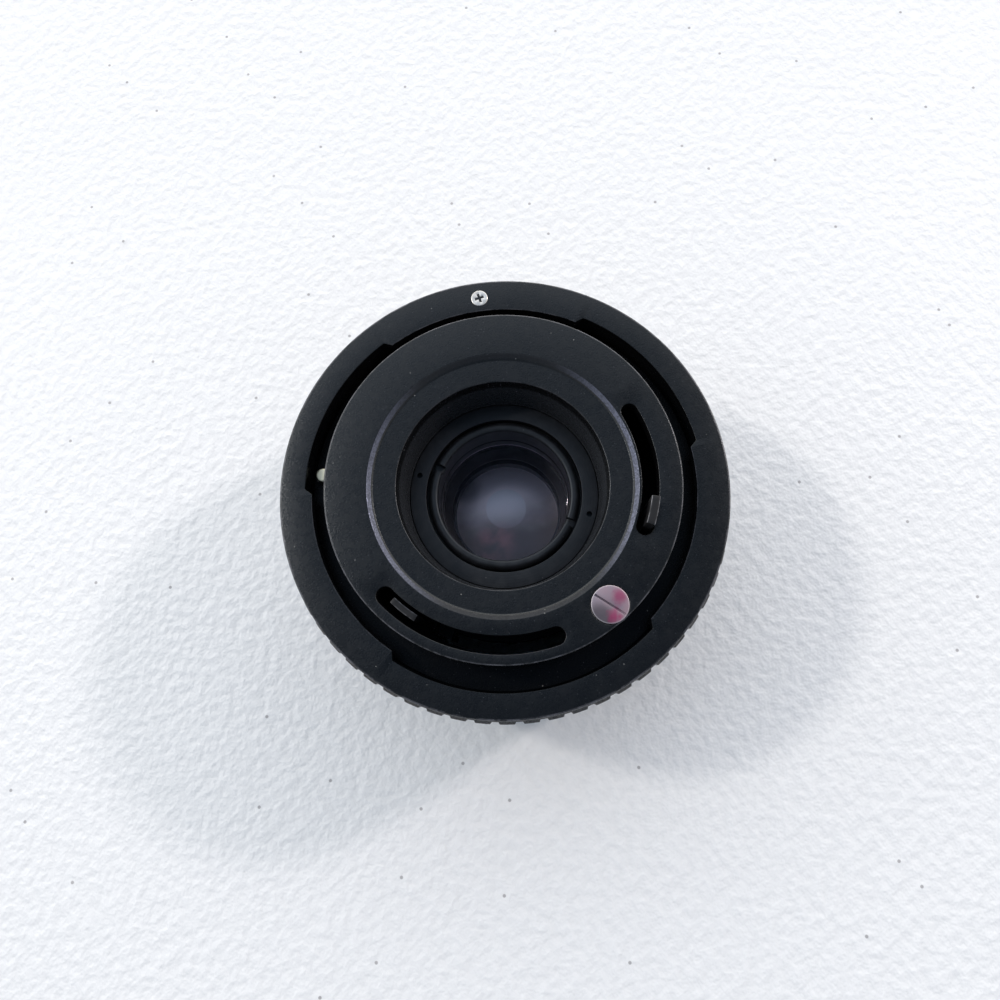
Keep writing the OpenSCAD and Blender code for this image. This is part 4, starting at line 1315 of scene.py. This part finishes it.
@dataclass
class LensWell:
    """The rings and glasses at the bottom of the funnel."""

    tube_ring_r: Point2 = (11.0, 13.24)
    tube_ring_z: Point2 = (28.4, 29.9)
    spanner_r: float = 12.3
    spanner_angle: float = 126.0
    spanner_d: float = 0.8
    spanner_depth: float = 1.0
    well_r: float = 9.35
    ring_r: float = 10.43
    well_z: float = 22.8
    crest: float = 30.05
    shoulder: float = 29.4
    crest_r: float = 10.78
    crest_low: float = 28.5
    notch_angle: float = 116.2
    notch_half: float = 2.9
    notch_depth: float = 1.3
    cone_r: float = 8.4
    cone_z: Point2 = (17.8, 20.6)
    glass_r: float = 10.38
    clear_r: float = 8.05
    face_r: float = 7.9
    face_z: Point2 = (12.83, 13.97)
    third_z: Point2 = (16.43, 17.77)

    def tube_ring(self) -> bpy.types.Object:
        """Flat ring with two spanner holes."""
        (r0, r1), (z0, z1) = self.tube_ring_r, self.tube_ring_z
        ring = revolved("well_floor_ring", softened([(r0, z0), (r1, z0), (r1, z1), (r0, z1)], 0.09))
        r = self.spanner_d / 2
        low, high = z1 - self.spanner_depth, z1 + self.spanner_depth
        profile = [(0.0, low), (r, low), (r, high), (0.0, high)]
        places = (polar(self.spanner_r, self.spanner_angle + turn) for turn in (0.0, 180.0))
        return cut(ring, [peg("drill", profile, standing(place), 32) for place in places])

    def crest_section(self, angle: float) -> Profile:
        """Section of the deep ring, lower inside its two spanner notches."""
        off = min(apart(angle, self.notch_angle + turn) for turn in (0.0, 180.0))
        drop = self.notch_depth if off < self.notch_half else 0.0
        top = self.crest - drop
        shoulder = min(self.shoulder, top - 0.05)
        return softened(
            [
                (self.well_r, self.well_z, 0.02), (self.ring_r, self.well_z, 0.02),
                (self.ring_r, self.crest_low, 0.02), (self.crest_r, self.crest_low + 0.05, 0.03),
                (self.crest_r, shoulder, 0.3), (self.crest_r - 0.5, top, 0.3),
                (self.well_r, top, 0.42), (self.well_r, top - 0.9, 0.02),
                (self.well_r + 0.12, top - 1.05, 0.02),
                (self.well_r + 0.12, self.well_z + 2.2, 0.02),
                (self.well_r, self.well_z + 2.0, 0.02),
            ],
            0.05,
        )

    def crest_angles(self) -> list[float]:
        """Angles of the deep ring's sections, with close pairs at the notches' walls."""
        found = {round(i * 1.5, 4) for i in range(240)}
        for turn in (0.0, 180.0):
            for side in (-1.0, 1.0):
                edge = self.notch_angle + turn + side * self.notch_half
                found |= {round((edge + t) % 360.0, 4) for t in (-0.12, -0.02, 0.02, 0.12)}
        return sorted(found)

    def lens(
        self, name: str, clear: float, heights: Point2, sags: Point2, bevel: float = 0.0
    ) -> bpy.types.Object:
        """Lens between two rim heights.

        Args:
            name: name of the piece.
            clear: radius inside which its faces are curved.
            heights: heights of its lower and its upper rim.
            sags: how far its lower and its upper face bulge upwards.
            bevel: width of the polished bevel round its upper face.

        Returns:
            The lens.
        """
        shares = spread(0.0, 1.0, 24)
        low, high = heights
        inner = clear - bevel
        lower = [(clear * t, low + sags[0] * (1 - t * t)) for t in shares]
        upper = [(inner * t, high + sags[1] * (1 - t * t)) for t in reversed(shares)]
        rim = [(self.glass_r, low), (self.glass_r, high)]
        if bevel:
            rim += [(clear, high), (clear, high + 0.4 * bevel)]
        return revolved(name, lower + rim + upper, 160, 12.0)

    def build(
        self,
        floor_black: bpy.types.Material,
        deep_black: bpy.types.Material,
        cone_black: bpy.types.Material,
        face: bpy.types.Material,
        clear: bpy.types.Material,
    ) -> None:
        """Makes the rings and glasses and dresses them."""
        dress(self.tube_ring(), floor_black, Body.HOUSING, ["tube_ring"])
        deep = polar_shell("well_ring", self.crest_section, self.crest_angles())
        dress(deep, deep_black, Body.HOUSING, ["rear_element_ring"])
        z0, z1 = self.cone_z
        cone = revolved(
            "glass_cone",
            softened(
                [
                    (self.cone_r, z0, 0.02), (self.glass_r, z0, 0.02), (self.glass_r, z1, 0.02),
                    (self.well_r, z1, 0.05), (self.cone_r, z0 + 0.5, 0.08),
                ],
                0.05,
            ),
        )
        dress(cone, cone_black, Body.HOUSING, ["rear_lens_spacer"])
        coated = self.lens("coated_inner_glass", self.face_r, self.face_z, (0.35, 0.3))
        dress(coated, face, Body.HOUSING, ["second_element"])
        middle = self.lens("middle_glass", self.clear_r, self.third_z, (-0.3, 0.9))
        dress(middle, clear, Body.HOUSING, ["third_element"])
        outer = self.lens("rear_glass", self.well_r - 0.02, (z1, self.well_z), (0.6, -0.8), 0.36)
        dress(outer, clear, Body.HOUSING, ["rear_element"])


@dataclass
class OuterBarrel:
    """The smooth black barrel with its red index bead."""

    low: float = 4.8
    high: float = 20.6
    radius: float = 30.8
    bore: float = 28.95
    seat_r: float = 29.45
    seat_z: float = 6.4
    web_r: float = 24.3
    web_top: float = 12.6
    bevel_low: float = 0.7
    bevel_high: float = 0.4
    bead_angle: float = 90.0
    bead_z: float = 9.4
    bead_r: float = 1.2
    bead_depth: float = 1.5
    bead_dome: float = 0.34
    seat_depth: float = 1.7
    seat_gap: float = 0.06

    def build(self, black: bpy.types.Material, red: bpy.types.Material) -> None:
        """Makes the barrel and its bead and dresses them."""
        profile = softened(
            [
                (self.seat_r, self.low, 0.08), (self.radius - self.bevel_low, self.low, 0.15),
                (self.radius, self.low + self.bevel_low, 0.3),
                (self.radius, self.high - self.bevel_high, 0.15),
                (self.radius - self.bevel_high, self.high, 0.1), (self.bore, self.high, 0.05),
                (self.bore, self.web_top, 0.02), (self.web_r, self.web_top, 0.02),
                (self.web_r, self.seat_z, 0.02), (self.seat_r, self.seat_z, 0.02),
            ],
            0.05,
        )
        barrel = revolved("smooth_barrel", profile, 288)
        level = Matrix.Rotation(math.radians(90.0), 4, "Y")
        aim = Matrix.Rotation(math.radians(self.bead_angle), 4, "Z") @ level
        out = Vector((*polar(self.radius, self.bead_angle), self.bead_z))
        place = Matrix.Translation(out) @ aim
        r = self.bead_r
        wide, deep = r + self.seat_gap, -self.seat_depth
        seat = [(0.0, deep), (wide, deep), (wide, 1.0), (0.0, 1.0)]
        hole = peg("bead_hole", seat, place, 48)
        dress(cut(barrel, [hole]), black, Body.HOUSING, ["main_barrel"])
        dome = [
            (r * math.sin(t), self.bead_dome * math.cos(t) ** 2)
            for t in spread(math.pi / 2, 0.0, 8)
        ]
        foot = [(0.0, -self.bead_depth), (r, -self.bead_depth)]
        bead = peg("index_bead", [*foot, *dome], place, 48)
        dress(bead, red, Body.HOUSING, ["front_index_bead"])


# Camera and studio


@dataclass
class PhotoCamera:
    """The camera that the photograph was taken with, fitted to the ellipses of the part."""

    elevation: float = 76.736
    roll: float = -8.514
    pan: float = -0.2057
    tilt: float = 0.8548
    focal_px: float = 808.0
    distance: float = 109.99
    target_z: float = 34.0
    image_px: float = 1000.0
    sensor: float = 36.0

    def build(self) -> None:
        """Makes the camera and sets it as the scene's."""
        e = math.radians(self.elevation)
        back = Vector((0.0, -math.cos(e), math.sin(e)))
        right = Vector((1.0, 0.0, 0.0))
        up = back.cross(right)
        base = Matrix((right, up, back))
        roll = Matrix.Rotation(-math.radians(self.roll), 3, "Z")
        pan = Matrix.Rotation(math.radians(self.pan), 3, "Y")
        tilt = Matrix.Rotation(math.radians(self.tilt), 3, "X")
        into_camera = tilt @ pan @ roll @ base
        turn = Matrix.Rotation(math.radians(PHOTO_TURN), 3, "Z")
        data = bpy.data.cameras.new("photo_camera")
        data.sensor_width = self.sensor
        data.lens = self.focal_px * self.sensor / self.image_px
        data.clip_start, data.clip_end = 0.005, 20.0
        camera = in_scene("photo_camera", data)
        place = turn @ (back * self.distance + Vector((0.0, 0.0, self.target_z))) * MM
        matrix = (turn @ into_camera.transposed()).to_4x4()
        matrix.translation = place
        camera.matrix_world = matrix
        bpy.context.scene.camera = camera


@dataclass(frozen=True)
class Lamp:
    """A soft window-like lamp, placed in the photograph's axes: right, away and up, in metres."""

    name: str
    place: tuple[float, float, float]
    size: Point2
    watts: float
    colour: Colour = (1.0, 1.0, 1.0)


@dataclass(frozen=True)
class Room:
    """Light of a white room: dim overhead, with a window wall behind the part to its left."""

    overhead: Colour = (0.082, 0.14, 0.225)
    behind: Colour = (3.25, 2.95, 2.55)
    before: Colour = (0.1, 0.12, 0.14)
    window: Colour = (0.41, 0.48, 0.58)
    window_angle: float = 115.0
    window_edge: Point2 = (0.12, 0.36)
    backdrop: Colour = (0.93, 0.94, 0.95)

    def build(self) -> None:
        """Makes the world."""
        world = bpy.data.worlds.new("room")
        bpy.context.scene.world = world
        world.use_nodes = True
        n = Nodes(world.node_tree)
        way = n.node("ShaderNodeTexCoord").outputs["Object"]
        height = n.node("ShaderNodeSeparateXYZ", {0: way}).outputs["Z"]
        clamped = {"operation": "SUBTRACT", "use_clamp": True}
        low = n.node("ShaderNodeMath", {0: 1.0, 1: height}, **clamped).outputs[0]
        back = n.math("MULTIPLY_ADD", n.lean(way, 90.0 + PHOTO_TURN), 0.5, 0.5)
        front = n.math("SUBTRACT", 1.0, back)
        window = n.ramp(n.lean(way, self.window_angle + PHOTO_TURN), *self.window_edge)
        total: object = self.overhead
        for colour, share in (
            (self.behind, n.times(low, back)),
            (self.before, n.times(low, front)),
            (self.window, window),
        ):
            inputs = {0: share, 1: colour, 2: total}
            total = n.node("ShaderNodeVectorMath", inputs, operation="MULTIPLY_ADD").outputs[0]
        light = n.node("ShaderNodeBackground", {"Color": total}).outputs[0]
        seen = n.node("ShaderNodeBackground", {"Color": (*self.backdrop, 1.0)}).outputs[0]
        by_camera = n.node("ShaderNodeLightPath").outputs["Is Camera Ray"]
        mixed = n.node("ShaderNodeMixShader", {0: by_camera, 1: light, 2: seen}).outputs[0]
        n.node("ShaderNodeOutputWorld", {"Surface": mixed})


@dataclass
class Studio:
    """The white table, the lamps and the room round them."""

    table_half: float = 1.6
    lamps: tuple[Lamp, ...] = (
        Lamp("lamp_right", (0.820, 0.315, 0.662), (0.10, 0.10), 3.42, (1.0, 0.9, 0.87)),
        Lamp("lamp_left", (-0.645, 0.315, 0.834), (0.10, 0.10), 2.85, (1.0, 0.93, 0.86)),
    )

    def build(self) -> None:
        """Makes the table, the lamps and the world."""
        bm = bmesh.new()
        bmesh.ops.create_grid(bm, x_segments=8, y_segments=8, size=self.table_half)
        bm.normal_update()
        mesh = bpy.data.meshes.new("table")
        bm.to_mesh(mesh)
        bm.free()
        table = in_scene("table", mesh)
        mesh.materials.append(TableTop().build())
        turn = Matrix.Rotation(math.radians(PHOTO_TURN), 3, "Z")
        for lamp in self.lamps:
            data = bpy.data.lights.new(lamp.name, "AREA")
            data.shape = "RECTANGLE"
            data.size, data.size_y = lamp.size
            data.energy = lamp.watts
            data.color = lamp.colour
            thing = in_scene(lamp.name, data)
            place = turn @ Vector(lamp.place)
            thing.location = place
            thing.rotation_euler = (-place).to_track_quat("-Z", "Y").to_euler()
        Room().build()


@dataclass
class CadFinishes:
    """Finishes of the CAD nodes that stay as they are."""

    black: bpy.types.Material
    dark: bpy.types.Material
    bright: bpy.types.Material
    brass: bpy.types.Material
    black_steel: bpy.types.Material
    clear: bpy.types.Material
    front: bpy.types.Material
    shaded: bpy.types.Material

    def by_slot(self) -> dict[Slot, bpy.types.Material]:
        """The finish of each of the record's slots."""
        return {
            Slot.ANODISED: self.black, Slot.DARK: self.dark, Slot.BRIGHT: self.bright,
            Slot.SPRING: self.bright, Slot.SCREW: self.bright, Slot.BRASS: self.brass,
            Slot.BLACK_STEEL: self.black_steel, Slot.GLASS: self.clear,
        }

    def build(self, frame: dict) -> None:
        """Puts a finish on every CAD node that still shows."""
        slots = {row["node"]: row["material_slot"] for row in frame["record"]["subparts"]}
        finishes = self.by_slot()
        own = {"front_element": self.front, "rear_body": self.shaded}
        for name, node in frame["nodes"].items():
            if node.hide_render:
                continue
            finish = own.get(name, finishes[Slot(slots[name])])
            node.data.materials.clear()
            node.data.materials.append(finish)


def main() -> None:
    """Builds the camera, the studio, the part's pieces and their finishes."""
    logging.basicConfig(level=logging.INFO, format="%(name)s: %(message)s")
    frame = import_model()
    bpy.context.scene.view_settings.view_transform = "Standard"

    PhotoCamera().build()
    Studio().build()

    ring_black = Anodised(
        "ring_black",
        # painted light on the grip's sides
        grip_light_bands=(Band(30.62, 32.0, 26.5, 0.62, 6.5),),
        # worn edges, also painted highlight on the outer edge and painted glints on the tooth lips
        wear_and_glints=(Band(30.45, 30.8, 33.72, 0.5), Band(26.1, 26.32, 33.9, 0.3)),
    ).build()
    disc_black = Anodised(
        "disc_black",
        # painted sheen on the lower wall of the funnel
        fade=(Band(13.2, 14.0, 29.0, 0.6),),
        wear_and_glints=(Band(23.6, 23.9, 37.35, 0.55), Band(14.1, 14.32, 36.8, 0.15)),
        # painted highlight on the step chamfer
        sheen_bands=(Band(17.5, 18.03, 36.9, 1.0),),
    ).build()
    barrel_black = Anodised("barrel_black", roughness=0.42).build()
    shaded = Anodised(
        "shaded_black", colour=(0.0012, 0.0012, 0.0014), pale=(0.003, 0.003, 0.0036),
        specular=0.15, dust_share=0.8,
    ).build()
    floor_black = InnerBlack("well_floor_black", roughness=0.4).build()
    deep_black = InnerBlack(
        "well_ring_black", pale=(0.018, 0.0195, 0.0235), roughness=0.42, specular=0.45
    ).build()
    cone_black = InnerBlack(
        "cone_black", colour=(0.014, 0.0145, 0.017), pale=(0.04, 0.041, 0.048), roughness=0.5
    ).build()
    dark = InnerBlack("inside_black", colour=(0.014, 0.014, 0.015), roughness=0.5).build()
    bright = TurnedMetal("satin_steel").build()
    brass = TurnedMetal("turned_brass", colour=(0.62, 0.47, 0.22), dull=(0.4, 0.29, 0.13)).build()
    screw_steel = TurnedMetal(
        "screw_steel", colour=(0.66, 0.65, 0.62), roughness=0.34,
        centre=polar(BreechRing.screw_r, BreechRing.middle),
    ).build()
    pin_steel = TurnedMetal(
        "pin_steel", colour=(0.62, 0.6, 0.46), dull=(0.45, 0.43, 0.32), roughness=0.36,
        centre=polar(ReleasePin.at_r, ReleasePin.angle),
    ).build()
    index_paint = PaintedScrew(
        "worn_red_screw", SpigotCover.screw_at, SpigotCover.screw_r
    ).build()
    tall = LeverTab(
        "aperture_tab", "aperture_rear_lever", Body.APERTURE,
        inner_r=19.35, outer_r=20.45, start=121.3, end=132.1, foot_r=16.0, foot_z=23.35, tip=40.2,
    )
    short = LeverTab(
        "signal_tab", "signal_rear_lever", Body.SIGNAL,
        inner_r=20.5, outer_r=21.4, start=6.7, end=17.5, foot_r=16.0, foot_z=18.35, tip=36.9,
    )
    tall_steel = BlackSteel("tall_lever_steel", tall.tip, (tall.inner_r, tall.outer_r)).build()
    short_steel = BlackSteel("short_lever_steel", short.tip, (short.inner_r, short.outer_r)).build()
    face = LensFace("coated_glass").build()
    # The front glass gets the same painted reflection in darker colours.
    front_face = LensFace(
        "front_coated_glass", body=(0.1, 0.09, 0.13), low=(0.08, 0.07, 0.1),
        reflected_spot=(0.12, 0.11, 0.15), blush=(0.1, 0.07, 0.11),
    ).build()
    clear = ClearGlass("clear_glass").build()
    red = GlossPaint("red_bead", (0.5, 0.02, 0.025)).build()

    BreechRing().build(ring_black, screw_steel)
    SpigotCover().build(disc_black, index_paint)
    tall.build(tall_steel)
    short.build(short_steel)
    ReleasePin().build(pin_steel)
    LensWell().build(floor_black, deep_black, cone_black, face, clear)
    OuterBarrel().build(barrel_black, red)
    CadFinishes(
        barrel_black, dark, bright, brass, short_steel, clear, front_face, shaded
    ).build(frame)


if __name__ == "__main__":
    main()
